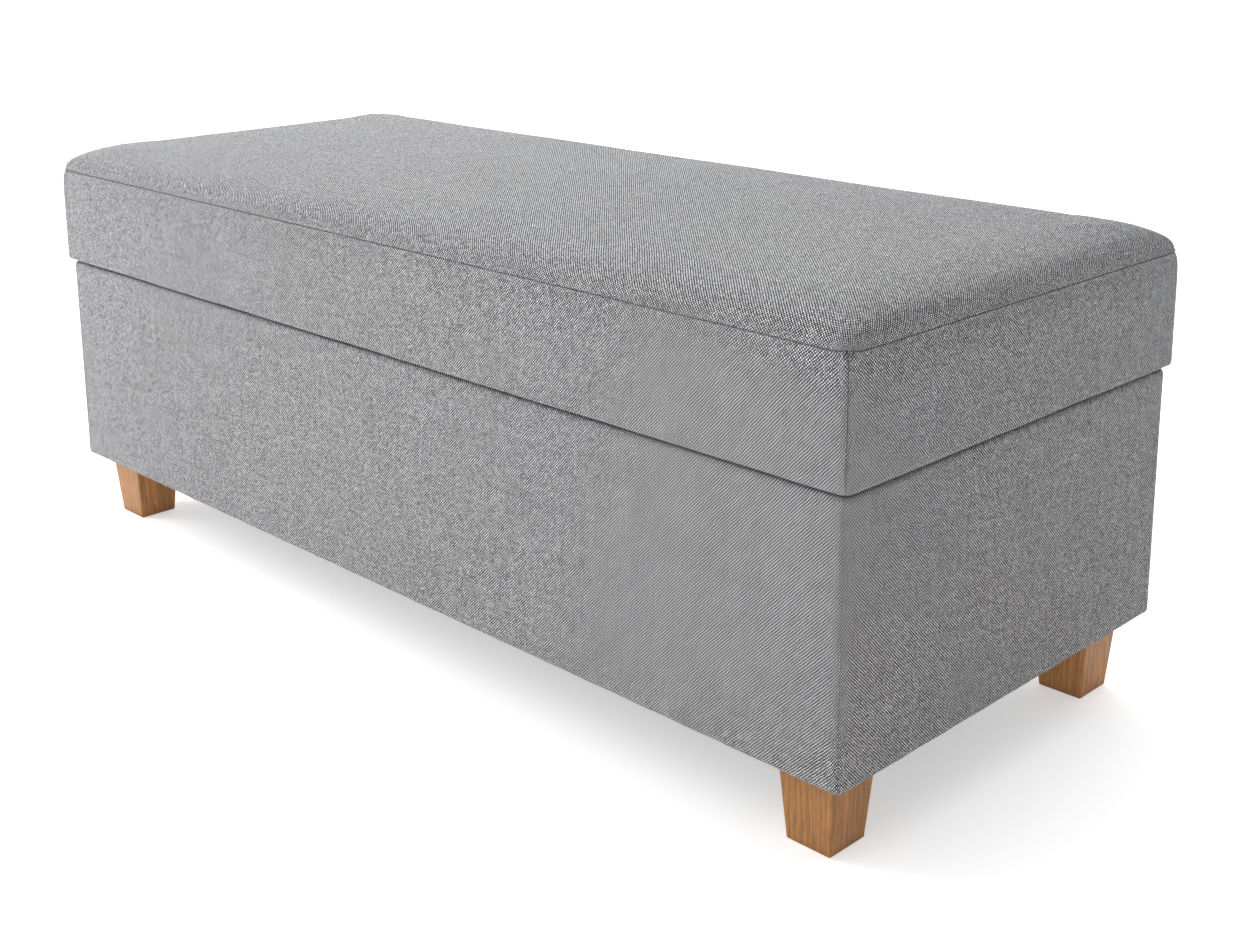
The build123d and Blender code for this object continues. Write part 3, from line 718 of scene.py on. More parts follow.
def as_piece(
    shape: bmesh.types.BMesh, name: str, finish: bpy.types.Material, body: str,
) -> bpy.types.Object:
    """Makes a finished mesh a named piece that rides on a body.

    Args:
        shape: The mesh, in the bench's own frame; it is freed.
        name: The piece's name.
        finish: Its material.
        body: The body that it moves with.

    Returns:
        The new object.
    """
    mesh = bpy.data.meshes.new(name)
    shape.to_mesh(mesh)
    shape.free()
    mesh.shade_smooth()
    mesh.materials.append(finish)
    piece = bpy.data.objects.new(name, mesh)
    bpy.context.scene.collection.objects.link(piece)
    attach(piece, body)
    log.info("%s: %d faces", name, len(mesh.polygons))
    return piece


def thicken(piece: bpy.types.Object, thickness: float) -> None:
    """Gives a sheet its thickness behind its outer face."""
    wall = piece.modifiers.new("Thickness", "SOLIDIFY")
    wall.thickness = thickness
    wall.offset = -1.0


def settled(piece: bpy.types.Object) -> bpy.types.Mesh:
    """Returns a new mesh of the piece with its modifiers applied."""
    graph = bpy.context.evaluated_depsgraph_get()
    return bpy.data.meshes.new_from_object(piece.evaluated_get(graph))


# ---------------------------------------------------------------- padding


class Swell:
    """How far the padding's skin moved while it was inflated, read anywhere near it."""

    def __init__(self, before: Sequence[Vector], after: Sequence[Vector], faces: Sequence[Sequence[int]]) -> None:
        """Keeps the skin before inflating and each point's move."""
        self.before = list(before)
        self.moves = [second - first for first, second in zip(before, after)]
        self.faces = [tuple(face) for face in faces]
        self.skin = BVHTree.FromPolygons(self.before, self.faces)

    def at(self, place: Vector) -> Vector:
        """Returns the skin's move nearest to a place."""
        spot, _, face, _ = self.skin.find_nearest(place)
        if face is None:
            return Vector()
        total, weight = Vector(), 0.0
        for corner in self.faces[face]:
            near = 1.0 / ((self.before[corner] - spot).length + 1e-5)
            total += self.moves[corner] * near
            weight += near
        return total / weight


@dataclass
class SeatPad:
    """Foam and wadding that fill the lid's cover above and round its frame."""

    effects: Effects
    half_x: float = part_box("lid_cover_top")[1].x
    half_y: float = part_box("lid_cover_top")[1].y
    bottom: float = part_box("seat_wadding")[0].z
    seam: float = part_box("lid_cover_top")[0].z
    top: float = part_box("lid_cover_top")[1].z
    shoulder: float = 62 * MM
    fullness: float = 2.6
    inside: float = 3.4 * MM
    settle: float = 1.5 * MM
    corner: float = 12 * MM
    voxel: float = 6 * MM
    cap: float = 3.0 * MM
    frames: int = 20
    pressure: float = 4.0

    def rise(self, from_end: float, from_side: float) -> float:
        """Returns the share of the crown's height at distances in from the cover's faces."""
        shares = []
        for distance in (from_end, from_side):
            rest = 1 - min(max(distance, 0.0), self.shoulder) / self.shoulder
            shares.append((1 - rest ** self.fullness) ** (1 / self.fullness))
        return shares[0] * shares[1]

    def block(self) -> bpy.types.Object:
        """Makes the pad's skin before inflating: a crowned block with round upright corners."""
        shape = bmesh.new()
        bmesh.ops.create_cube(shape, size=1.0)
        low, high = self.bottom, self.top - self.inside - self.settle
        size = (2 * (self.half_x - self.inside), 2 * (self.half_y - self.inside), high - low)
        bmesh.ops.scale(shape, vec=size, verts=shape.verts)
        bmesh.ops.translate(shape, vec=(0, 0, (low + high) / 2), verts=shape.verts)
        upright = [edge for edge in shape.edges if abs(edge.verts[0].co.z - edge.verts[1].co.z) > 1e-6]
        bmesh.ops.bevel(shape, geom=upright, offset=self.corner, affect="EDGES",
                        segments=6, profile=0.5, material=-1)
        mesh = bpy.data.meshes.new("seat_pad_block")
        shape.to_mesh(mesh)
        shape.free()
        block = bpy.data.objects.new("seat_pad_block", mesh)
        bpy.context.scene.collection.objects.link(block)
        remesh = block.modifiers.new("Even skin", "REMESH")
        remesh.mode = "VOXEL"
        remesh.voxel_size = self.voxel
        block.data = settled(block)
        block.modifiers.clear()
        crown = self.top - self.seam
        for vert in block.data.vertices:
            share = self.rise(self.half_x - abs(vert.co.x), self.half_y - abs(vert.co.y))
            local_top = high - crown * (1 - share)
            vert.co.z = low + (vert.co.z - low) * (local_top - low) / (high - low)
        return block

    def held(self, place: Vector) -> float:
        """Returns how firmly the skin is held at a place: frame, seams and corners."""
        if place.z < self.bottom + 62 * MM:
            return 1.0
        firm = 0.0
        if place.z < self.seam + 4 * MM:
            firm = max(firm, 1 - abs(place.z - self.seam) / (10 * MM))
        from_end = self.half_x - abs(place.x)
        from_side = self.half_y - abs(place.y)
        reach = math.hypot(from_end, from_side)
        firm = max(firm, 1 - reach / (26 * MM))
        return 0.85 * max(0.0, firm)

    def inflate(self, block: bpy.types.Object) -> Swell:
        """Inflates the skin against its seams and keeps the result in its mesh.

        Args:
            block: The skin from block().

        Returns:
            The skin's moves, for the covers to follow.
        """
        scene = bpy.context.scene
        before = [vert.co.copy() for vert in block.data.vertices]
        faces = [tuple(face.vertices) for face in block.data.polygons]
        after = before
        group = block.vertex_groups.new(name="held")
        for index, place in enumerate(before):
            firm = self.held(place)
            if firm > 0:
                group.add([index], firm, "REPLACE")
        cloth = block.modifiers.new("Stuffing", "CLOTH")
        cloth.settings.quality = 4
        cloth.settings.vertex_group_mass = group.name
        cloth.settings.use_pressure = True
        cloth.settings.uniform_pressure_force = self.pressure
        cloth.settings.effector_weights.gravity = 0.0
        cloth.point_cache.frame_start = 1
        cloth.point_cache.frame_end = self.frames
        for number in range(1, self.frames + 1):
            scene.frame_set(number)
        skin = settled(block)
        after = []
        for start, vert in zip(before, skin.vertices):
            move = vert.co - start
            after.append(start + move * (self.cap / (self.cap + move.length)))
        bpy.data.meshes.remove(skin)
        block.modifiers.clear()
        block.vertex_groups.clear()
        for vert, place in zip(block.data.vertices, after):
            vert.co = place
        scene.frame_set(1)
        return Swell(before, after, faces)

    def hollow(self, block: bpy.types.Object) -> None:
        """Cuts the room of the rails and deck out of the pad."""
        deck_low, deck_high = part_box("lid_deck_panel")
        shape = bmesh.new()
        bmesh.ops.create_cube(shape, size=1.0)
        low = self.bottom - 20 * MM
        bmesh.ops.scale(shape, vec=(deck_high.x - deck_low.x, deck_high.y - deck_low.y, deck_high.z - low),
                        verts=shape.verts)
        bmesh.ops.translate(shape, vec=(0, 0, (deck_high.z + low) / 2), verts=shape.verts)
        mesh = bpy.data.meshes.new("deck_room")
        shape.to_mesh(mesh)
        shape.free()
        room = bpy.data.objects.new("deck_room", mesh)
        bpy.context.scene.collection.objects.link(room)
        cut = block.modifiers.new("Deck room", "BOOLEAN")
        cut.operation = "DIFFERENCE"
        cut.solver = "EXACT"
        cut.object = room
        block.data = settled(block)
        block.modifiers.clear()
        bpy.data.objects.remove(room)

    def build(self) -> Swell:
        """Makes the finished pad and returns the skin's moves."""
        block = self.block()
        swell = self.inflate(block)
        self.hollow(block)
        shape = bmesh.new()
        shape.from_mesh(block.data)
        bpy.data.objects.remove(block)
        finish = FleeceFinish("Wadding fleece", self.effects, (0.62, 0.62, 0.60, 1.0),
                              (0.86, 0.86, 0.84, 1.0), 0.9 * MM, 0.5 * MM, 0.3)
        pad = as_piece(shape, "seat_pad", finish.make(), "lid")
        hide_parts("seat_foam", "seat_wadding")
        return swell


# ---------------------------------------------------------------- covers


@dataclass
class WallPanel:
    """An upright cover panel that turns in at its top and bottom edges."""

    side: Side
    half_x: float
    half_y: float
    section: Section
    top_round: float
    side_round: float
    top_height: float
    round_fade: float = 6 * MM
    seam_turn: float = 3 * MM

    @property
    def half_length(self) -> float:
        """Half the panel's finished length."""
        return self.half_x if self.side in (Side.FRONT, Side.BACK) else self.half_y

    @property
    def depth(self) -> float:
        """The distance of the panel's face from the bench's middle."""
        return self.half_y if self.side in (Side.FRONT, Side.BACK) else self.half_x

    @property
    def flat(self) -> tuple[float, float]:
        """The size that the cloth was cut to."""
        return 2 * (self.half_length + self.seam_turn), self.section.length

    def place(self, across: float, up: float) -> Vector:
        """Returns the place on the bench of a flat place on the panel."""
        inset, height = self.section.at(self.section.length - up)
        below = max(0.0, self.top_height - height)
        radius = self.side_round + (self.top_round - self.side_round) * math.exp(-below / self.round_fade)
        radius = max(radius - max(inset, 0.0), 0.6 * MM)
        reach = self.half_length - inset
        x = math.copysign(min(abs(across), self.half_length), across) * reach / self.half_length
        x, y = rounded_plan(x, inset - self.depth, reach, self.depth - inset, radius)
        over = abs(across) - self.half_length
        if over > 0:
            x -= math.copysign(over * math.sqrt(0.5), across)
            y += over * math.sqrt(0.5)
        return self.side.turn @ Vector((x, y, height))

    def build(self, bends: Sequence[float], relief: Relief, swell: Swell | None) -> bmesh.types.BMesh:
        """Cuts and lays the panel.

        Args:
            bends: Distances up the panel that need close rows.
            relief: The rise above the form at a flat place.
            swell: The padding's swelling, if it has any.

        Returns:
            The laid cloth.
        """
        width, height = self.flat
        columns = stations(width, (0.0, width), 0.8 * MM, 4 * MM, 24 * MM)
        rows = stations(height, bends, 0.9 * MM, 6 * MM, 16 * MM)
        cloth = cut_cloth([column - width / 2 for column in columns], rows)
        lay_cloth(cloth, self.place, relief, swell)
        return cloth


@dataclass
class SeatCovers:
    """The lid's sewn cover: a top panel, four boxing panels and their seam thread."""

    effects: Effects
    pad: SeatPad
    cloth: bpy.types.Material
    thread: bpy.types.Material
    underside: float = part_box("lid_cover_front")[0].z
    seam_round: float = 19 * MM
    side_round: float = 8 * MM
    edge_round: float = 5 * MM
    underwrap: float = 14 * MM
    roll: float = 0.65 * MM
    turn_in: float = 4 * MM
    seam_gap: float = 0.07 * MM
    bulge: float = 2.6 * MM
    bulge_below: float = 22 * MM
    thickness: float = 1.2 * MM
    stitch: float = 4 * MM
    stitch_inset: float = 2.0 * MM

    def crown_section(self, half: float) -> Section:
        """Returns the path from the seam over the shoulder to the middle of the top."""
        crown = self.pad.top - self.pad.seam
        bends = [Bend(self.turn_in, self.seam_gap), Bend(0.0, self.seam_gap, self.roll)]
        steps, power = 28, 2 / self.pad.fullness
        for step in range(3, steps + 1):
            angle = step / steps * math.pi / 2
            inset = self.pad.shoulder * (1 - max(math.cos(angle), 0.0) ** power)
            bends.append(Bend(inset, crown * math.sin(angle) ** power))
        bends.append(Bend(half, crown))
        return Section(bends)

    def pucker(self, along: float, away: float, seed: float) -> float:
        """Returns the small gathers that a seam draws into the cloth."""
        drift = noise.noise(Vector((along * 22, seed, 0.0)))
        ripple = 0.5 + 0.5 * math.sin(2 * math.pi * along / (9.5 * MM) + 4 * drift)
        strength = 0.6 + 0.4 * noise.noise(Vector((along * 9, seed + 5, 0.0)))
        return -0.34 * MM * ripple * strength * math.exp(-max(away, 0.0) / (8 * MM))

    def top_panel(self, swell: Swell) -> bpy.types.Object:
        """Makes the seat's top panel."""
        half_x, half_y = self.pad.half_x, self.pad.half_y
        crown = self.pad.top - self.pad.seam
        long_way, short_way = self.crown_section(half_x), self.crown_section(half_y)

        def place(across: float, deep: float) -> Vector:
            """Flat place to the crowned top."""
            inset_x, rise_x = long_way.at(long_way.length - abs(across))
            inset_y, rise_y = short_way.at(short_way.length - abs(deep))
            x = math.copysign(half_x - inset_x, across)
            y = math.copysign(half_y - inset_y, deep)
            x, y = rounded_plan(x, y, half_x, half_y, self.seam_round)
            return Vector((x, y, self.pad.seam + crown * (rise_x / crown) * (rise_y / crown)))

        def relief(across: float, deep: float) -> float:
            """Gentle unevenness over the top and gathers along its seam."""
            from_end = long_way.length - abs(across) - self.turn_in
            from_side = short_way.length - abs(deep) - self.turn_in
            away = min(from_end, from_side)
            along = deep if from_end < from_side else across
            spot = Vector((across, deep, 0.0))
            soft = 0.9 * MM * waves(spot, 0.16, 1.0) + 0.35 * MM * waves(spot, 0.055, 2.0)
            fade = eased(away / (60 * MM))
            return soft * fade + self.pucker(along, away, 3.0)

        def rows(length: float) -> list[float]:
            """Rows across the top, close by both seams."""
            spots = (0.0, 6 * MM, 2 * length - 6 * MM, 2 * length)
            return [row - length for row in stations(2 * length, spots, 0.9 * MM, 4.6 * MM, 26 * MM)]

        cloth = cut_cloth(rows(long_way.length), rows(short_way.length))
        lay_cloth(cloth, place, relief, swell)
        panel = as_piece(cloth, "seat_top_cover", self.cloth, "lid")
        thicken(panel, self.thickness)
        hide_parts("lid_cover_top")
        return panel

    def side_panel(self, side: Side, swell: Swell) -> bpy.types.Object:
        """Makes one boxing panel, from the seam to its tacked edge under the lid."""
        top = self.pad.seam - self.seam_gap
        section = Section([
            Bend(self.turn_in, top), Bend(0.0, top, self.roll),
            Bend(0.0, self.underside, self.edge_round), Bend(self.underwrap, self.underside),
        ])
        panel = WallPanel(side, self.pad.half_x, self.pad.half_y, section,
                          self.seam_round, self.side_round, top)

        def relief(across: float, up: float) -> float:
            """Fullness below the seam, gathers at it and gentle unevenness."""
            down = section.length - up - self.turn_in
            to_corner = panel.half_length - abs(across)
            spot = Vector((across, up, 10.0 * side.value))
            full = self.bulge * eased(down / self.bulge_below) * eased((105 * MM - down) / (80 * MM))
            full *= eased(to_corner / (70 * MM))
            soft = 0.55 * MM * waves(spot, 0.13, 4.0) + 0.22 * MM * waves(spot, 0.04, 6.0)
            soft *= eased(to_corner / (30 * MM)) * eased(down / (30 * MM))
            drawn = -0.25 * MM * math.exp(-max(down, 0.0) / (5 * MM))
            drawn -= 1.1 * MM * math.exp(-max(to_corner, 0.0) / (1.8 * MM))
            if down < -self.turn_in / 2 or to_corner < 0:
                drawn = 0.0
            return full + soft + drawn + self.pucker(across, down, 7.0 + side.value)

        low = self.underwrap
        bends = (low, low + 2 * self.edge_round, section.length - 6 * MM, section.length)
        cloth = panel.build(bends, relief, swell)
        piece = as_piece(cloth, f"seat_{side.word}_cover", self.cloth, "lid")
        thicken(piece, self.thickness)
        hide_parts(f"lid_cover_{side.word}")
        panel.flat
        return piece

    def seam_thread(self) -> bpy.types.Object:
        """Makes the stitches down in the seams round the top and at the corners."""
        half_x, half_y = self.pad.half_x, self.pad.half_y
        inset = self.stitch_inset
        arc = self.seam_round - inset
        rows = corner_stitches(half_x, half_y, self.underside + 6 * MM,
                               self.pad.seam - 12 * MM, self.stitch, inset + 1.3 * MM)
        for side in Side:
            half, depth = (half_x, half_y) if side in (Side.FRONT, Side.BACK) else (half_y, half_x)
            reach = half - self.seam_round
            ends = [Vector((end, inset - depth, self.pad.seam)) for end in (-reach, reach)]
            rows.append(stitch_row(side.turn @ ends[0], side.turn @ ends[1], self.stitch))
            middle = Vector((reach, self.seam_round - depth, self.pad.seam))
            spokes = [
                Vector((arc * math.sin(angle), -arc * math.cos(angle), 0.0))
                for angle in (step * math.pi / 12 for step in range(7))
            ]
            for first, second in zip(spokes, spokes[1:]):
                start, end = middle + first, middle + second
                rows.append(stitch_row(side.turn @ start, side.turn @ start.lerp(end, 0.9), self.stitch))
        return as_piece(join_rows(rows), "seat_seam_thread", self.thread, "lid")

    def build(self, swell: Swell) -> None:
        """Makes the whole cover."""
        self.top_panel(swell)
        for side in Side:
            self.side_panel(side, swell)
        self.seam_thread()


def stitch_row(start: Vector, end: Vector, pitch: float) -> bmesh.types.BMesh:
    """Makes a straight row of short plump stitches.

    Args:
        start: The first stitch's place.
        end: The last stitch's place.
        pitch: The stitch length wanted.

    Returns:
        The row as a mesh of its own.
    """
    row = bmesh.new()
    run = end - start
    turn = run.to_track_quat("Z", "Y").to_matrix().to_4x4()
    size = Matrix.Diagonal((0.45 * MM, 0.45 * MM, 1.7 * MM, 1.0))
    bmesh.ops.create_uvsphere(row, u_segments=5, v_segments=4, radius=1.0,
                              matrix=Matrix.Translation(start) @ turn @ size)
    wanted = max(1, round(run.length / pitch))
    step = run / wanted
    made = 1
    while made <= wanted:
        more = min(made, wanted + 1 - made)
        faces_each = len(row.faces) // made
        row.faces.ensure_lookup_table()
        copied = bmesh.ops.duplicate(row, geom=row.faces[:faces_each * more])["geom"]
        verts = [part for part in copied if isinstance(part, bmesh.types.BMVert)]
        bmesh.ops.translate(row, vec=step * made, verts=verts)
        made += more
    return row


def join_rows(rows: Iterable[bmesh.types.BMesh]) -> bmesh.types.BMesh:
    """Joins several meshes into one and frees them."""
    joined = bmesh.new()
    for row in rows:
        mesh = bpy.data.meshes.new("row")
        row.to_mesh(mesh)
        row.free()
        joined.from_mesh(mesh)
        bpy.data.meshes.remove(mesh)
    return joined


def corner_stitches(
    half_x: float, half_y: float, low: float, high: float, pitch: float, inset: float,
) -> list[bmesh.types.BMesh]:
    """Makes the stitches down the four upright corner seams.

    Args:
        half_x: Half the bench's length at its cover.
        half_y: Half its width.
        low: The lowest stitch's height.
        high: The highest stitch's height.
        pitch: The stitch length.
        inset: How far in from the corner the seam lies, along each side.

    Returns:
        One row for each corner.
    """
    rows = []
    for sign_x in (-1, 1):
        for sign_y in (-1, 1):
            x, y = sign_x * (half_x - inset), sign_y * (half_y - inset)
            rows.append(stitch_row(Vector((x, y, low)), Vector((x, y, high)), pitch))
    return rows


@dataclass
class BoxCovers:
    """The box's four cover panels, its seam thread and the wadding under them."""

    effects: Effects
    cloth: bpy.types.Material
    thread: bpy.types.Material
    half_x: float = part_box("box_cover_right")[1].x
    half_y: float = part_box("box_cover_back")[1].y
    bottom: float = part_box("box_cover_front")[0].z
    rim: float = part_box("box_cover_front")[1].z
    turn_in_bottom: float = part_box("cavity_lining_walls")[1].z
    mouth_inset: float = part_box("box_cover_front")[1].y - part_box("box_cover_front")[0].y
    edge_round: float = 5.5 * MM
    inner_round: float = 2 * MM
    underwrap: float = 12 * MM
    corner_round: float = 8 * MM
    thickness: float = 1.2 * MM
    stitch: float = 4 * MM
    press: float = 0.7 * MM

    def section(self) -> Section:
        """Returns the path from inside the mouth, over the rim, down and under the box."""
        return Section([
            Bend(self.mouth_inset, self.turn_in_bottom),
            Bend(self.mouth_inset, self.rim, self.inner_round),
            Bend(0.0, self.rim, self.edge_round),
            Bend(0.0, self.bottom, self.edge_round),
            Bend(self.underwrap, self.bottom),
        ])

    def panel(self, side: Side) -> bpy.types.Object:
        """Makes one cover panel of the box."""
        section = self.section()
        panel = WallPanel(side, self.half_x, self.half_y, section,
                          self.corner_round, self.corner_round, self.rim)
        inner_run = self.rim - self.turn_in_bottom
        face_top = section.length - inner_run - self.mouth_inset
        face_bottom = self.underwrap
        hinge_spots = [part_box(f"{hand}_hinge_box_leaf") for hand in ("left", "right")]

        def relief(across: float, up: float) -> float:
            """Gentle unevenness of cloth drawn tight over wadding."""
            to_corner = panel.half_length - abs(across)
            spot = Vector((across, up, 20.0 + 10.0 * side.value))
            soft = 0.6 * MM * waves(spot, 0.17, 8.0) + 0.22 * MM * waves(spot, 0.05, 9.0)
            on_face = eased((up - face_bottom) / (25 * MM)) * eased((face_top - up) / (25 * MM))
            soft *= on_face * eased(to_corner / (30 * MM))
            drawn = -1.1 * MM * math.exp(-max(to_corner, 0.0) / (1.8 * MM)) if to_corner > 0 else 0.0
            tacks = 0.0
            if up < 2 * face_bottom:
                tacks = 0.25 * MM * math.sin(2 * math.pi * across / 0.06) * eased(1 - up / (2 * face_bottom))
            return soft + drawn * on_face + tacks

        low = self.underwrap
        bends = (low, low + 6 * MM, face_top - 4 * MM, face_top + 4 * MM,
                 section.length - inner_run)
        cloth = panel.build(bends, relief, None)
        if side is Side.BACK:
            for vert in cloth.verts:
                for low_corner, high_corner in hinge_spots:
                    within = min(vert.co.x - low_corner.x, high_corner.x - vert.co.x) + 2 * MM
                    if vert.co.z > self.rim - 3 * MM and vert.co.y > low_corner.y - 1 * MM:
                        vert.co.z -= self.press * eased(within / (4 * MM))
        piece = as_piece(cloth, f"box_{side.word}_cover", self.cloth, "box")
        thicken(piece, self.thickness)
        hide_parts(f"box_cover_{side.word}")
        panel.flat
        return piece

    def padding(self) -> bpy.types.Object:
        """Makes the thin wadding band between the panels and their covers."""
        low, high = self.bottom + 7 * MM, self.rim - 7 * MM
        inset = 3.4 * MM
        run = 2 * (self.half_x + self.half_y - 2 * inset)
        columns = stations(2 * run, (), 0.01, 0.01, 1.0)
        rows = stations(high - low, (), 8 * MM, 8 * MM, 1.0)
        cloth = cut_cloth(columns, rows)
        wide, deep = 2 * (self.half_x - inset), 2 * (self.half_y - inset)

        def place(along: float, up: float) -> Vector:
            """Distance round the box to its place on the wadding's outer face."""
            along = min(along, 2 * (wide + deep))
            turns = ((wide, 0), (deep, 1), (wide, 2), (deep, 3))
            for length, quarter in turns:
                if along <= length or quarter == 3:
                    half, depth = length / 2, (deep if quarter % 2 == 0 else wide) / 2
                    x, y = rounded_plan(along - half, -depth, half, depth, 8 * MM)
                    return Matrix.Rotation(quarter * math.pi / 2, 4, "Z") @ Vector((x, y, low + up))
                along -= length
            return Vector()

        lay_cloth(cloth, place, lambda along, up: 0.2 * MM * waves(Vector((along, up, 0.0)), 0.05, 11.0))
        bmesh.ops.remove_doubles(cloth, verts=cloth.verts, dist=0.02 * MM)
        finish = FleeceFinish("Box wadding fleece", self.effects, (0.62, 0.62, 0.60, 1.0),
                              (0.86, 0.86, 0.84, 1.0), 0.9 * MM, 0.5 * MM, 0.3)
        band = as_piece(cloth, "box_padding", finish.make(), "box")
        thicken(band, 2.4 * MM)
        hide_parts("box_wadding")
        return band

    def build(self) -> None:
        """Makes the wadding, the four covers and the corner thread."""
        self.padding()
        for side in Side:
            self.panel(side)
        rows = corner_stitches(self.half_x, self.half_y, self.bottom + 6 * MM,
                               self.rim - 6 * MM, self.stitch, 3.3 * MM)
        as_piece(join_rows(rows), "box_seam_thread", self.thread, "box")


# ---------------------------------------------------------------- linings


@dataclass
class Linings:
    """Bonded black cloth inside the box, under the lid and under the base."""

    effects: Effects
    thickness: float = 0.6 * MM
    pitch: float = 8 * MM

    def finish(self) -> bpy.types.Material:
        """Returns the lining cloth's material."""
        return FleeceFinish("Lining cloth", self.effects, (0.010, 0.010, 0.011, 1.0),
                            (0.055, 0.055, 0.058, 1.0), 0.45 * MM, 0.2 * MM, 0.15).make()

    def flat_sheet(
        self, name: str, node: str, body: str, finish: bpy.types.Material, height: float,
        sag: float, tack: float, faces_down: bool,
    ) -> bpy.types.Object:
        """Makes a level lining that is tacked round its edge.

        Args:
            name: The piece's name.
            node: The CAD node that it stands for.
            body: The body that it moves with.
            finish: Its material.
            height: The height of its shown face at the edge.
            sag: How far its middle hangs, or rises when negative.
            tack: The spacing of the tacks that draw its edge.
            faces_down: Whether the shown face looks down.

        Returns:
            The lining.
        """
        low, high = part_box(node)
        width, depth = high.x - low.x, high.y - low.y
        columns = stations(width, (0.0, width), 3 * MM, self.pitch, 60 * MM)
        rows = stations(depth, (0.0, depth), 3 * MM, self.pitch, 60 * MM)
        cloth = cut_cloth([x - width / 2 for x in columns], [y - depth / 2 for y in rows])
        flip = -1.0 if faces_down else 1.0

        def place(x: float, y: float) -> Vector:
            """Flat place to the lining's level."""
            return Vector((flip * x, y, height))

        def relief(x: float, y: float) -> float:
            """Slack in the middle and small pulls at the tacks."""
            from_end, from_side = width / 2 - abs(x), depth / 2 - abs(y)
            away = min(from_end, from_side)
            along = y if from_end < from_side else x
            spot = Vector((x, y, 0.0))
            slack = sag * eased(away / (90 * MM))
            slack += 0.45 * MM * waves(spot, 0.09, 12.0) * eased((away - 25 * MM) / (40 * MM))
            pull = 0.5 + 0.5 * math.cos(2 * math.pi * along / tack)
            edge = eased(away / (14 * MM)) * (1 - eased((away - 14 * MM) / (40 * MM)))
            return slack + 0.35 * MM * (1 - pull) * edge

        lay_cloth(cloth, place, relief)
        piece = as_piece(cloth, name, finish, body)
        thicken(piece, self.thickness)
        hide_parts(node)
        return piece

    def wall_strip(self, finish: bpy.types.Material) -> bpy.types.Object:
        """Makes the strip that lines the box's four inner walls."""
        low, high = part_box("cavity_lining_walls")
        gap = 0.15 * MM
        wide, deep = high.x - low.x - 2 * gap, high.y - low.y - 2 * gap
        height = high.z - low.z
        run = 2 * (wide + deep)
        columns = stations(run, (0.0, wide, wide + deep, 2 * wide + deep, run), 1.2 * MM, self.pitch, 40 * MM)
        rows = stations(height, (0.0, height), 3 * MM, self.pitch, 40 * MM)
        cloth = cut_cloth(columns, rows)

        def place(along: float, up: float) -> Vector:
            """Distance round the walls to the place on them."""
            quarter = 0
            for length in (wide, deep, wide):
                if along <= length:
                    break
                along -= length
                quarter += 1
            half = (wide if quarter % 2 == 0 else deep) / 2
            depth = (deep if quarter % 2 == 0 else wide) / 2
            x, y = rounded_plan(along - half, depth, half, depth, 5 * MM)
            return Matrix.Rotation(-quarter * math.pi / 2, 4, "Z") @ Vector((x, y, low.z + up))

        def relief(along: float, up: float) -> float:
            """Slight waves away from the walls and small rucks at the top edge."""
            away = min(up, height - up)
            spot = Vector((along, up, 3.0))
            soft = 0.55 * MM * (1 + waves(spot, 0.11, 13.0)) * eased(away / (30 * MM))
            return self.thickness + soft

        lay_cloth(cloth, place, relief)
        bmesh.ops.remove_doubles(cloth, verts=cloth.verts, dist=0.02 * MM)
        piece = as_piece(cloth, "cavity_wall_lining", finish, "box")
        thicken(piece, self.thickness)
        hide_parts("cavity_lining_walls")
        return piece

    def build(self) -> None:
        """Makes the four linings."""
        finish = self.finish()
        self.wall_strip(finish)
        floor_low, floor_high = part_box("cavity_lining_floor")
        self.flat_sheet("cavity_floor_lining", "cavity_lining_floor", "box", finish,
                        floor_high.z, 0.6 * MM, 0.12, False)
        lid_low, lid_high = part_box("lid_lining")
        self.flat_sheet("lid_underside_lining", "lid_lining", "lid", finish,
                        lid_low.z + 0.45 * MM, 1.6 * MM, 0.086, True)
        dust_low, dust_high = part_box("dust_cover")
        self.flat_sheet("base_dust_cover", "dust_cover", "box", finish,
                        dust_low.z + 0.1 * MM, 0.0, 0.12, True)


# ---------------------------------------------------------------- frame and hardware


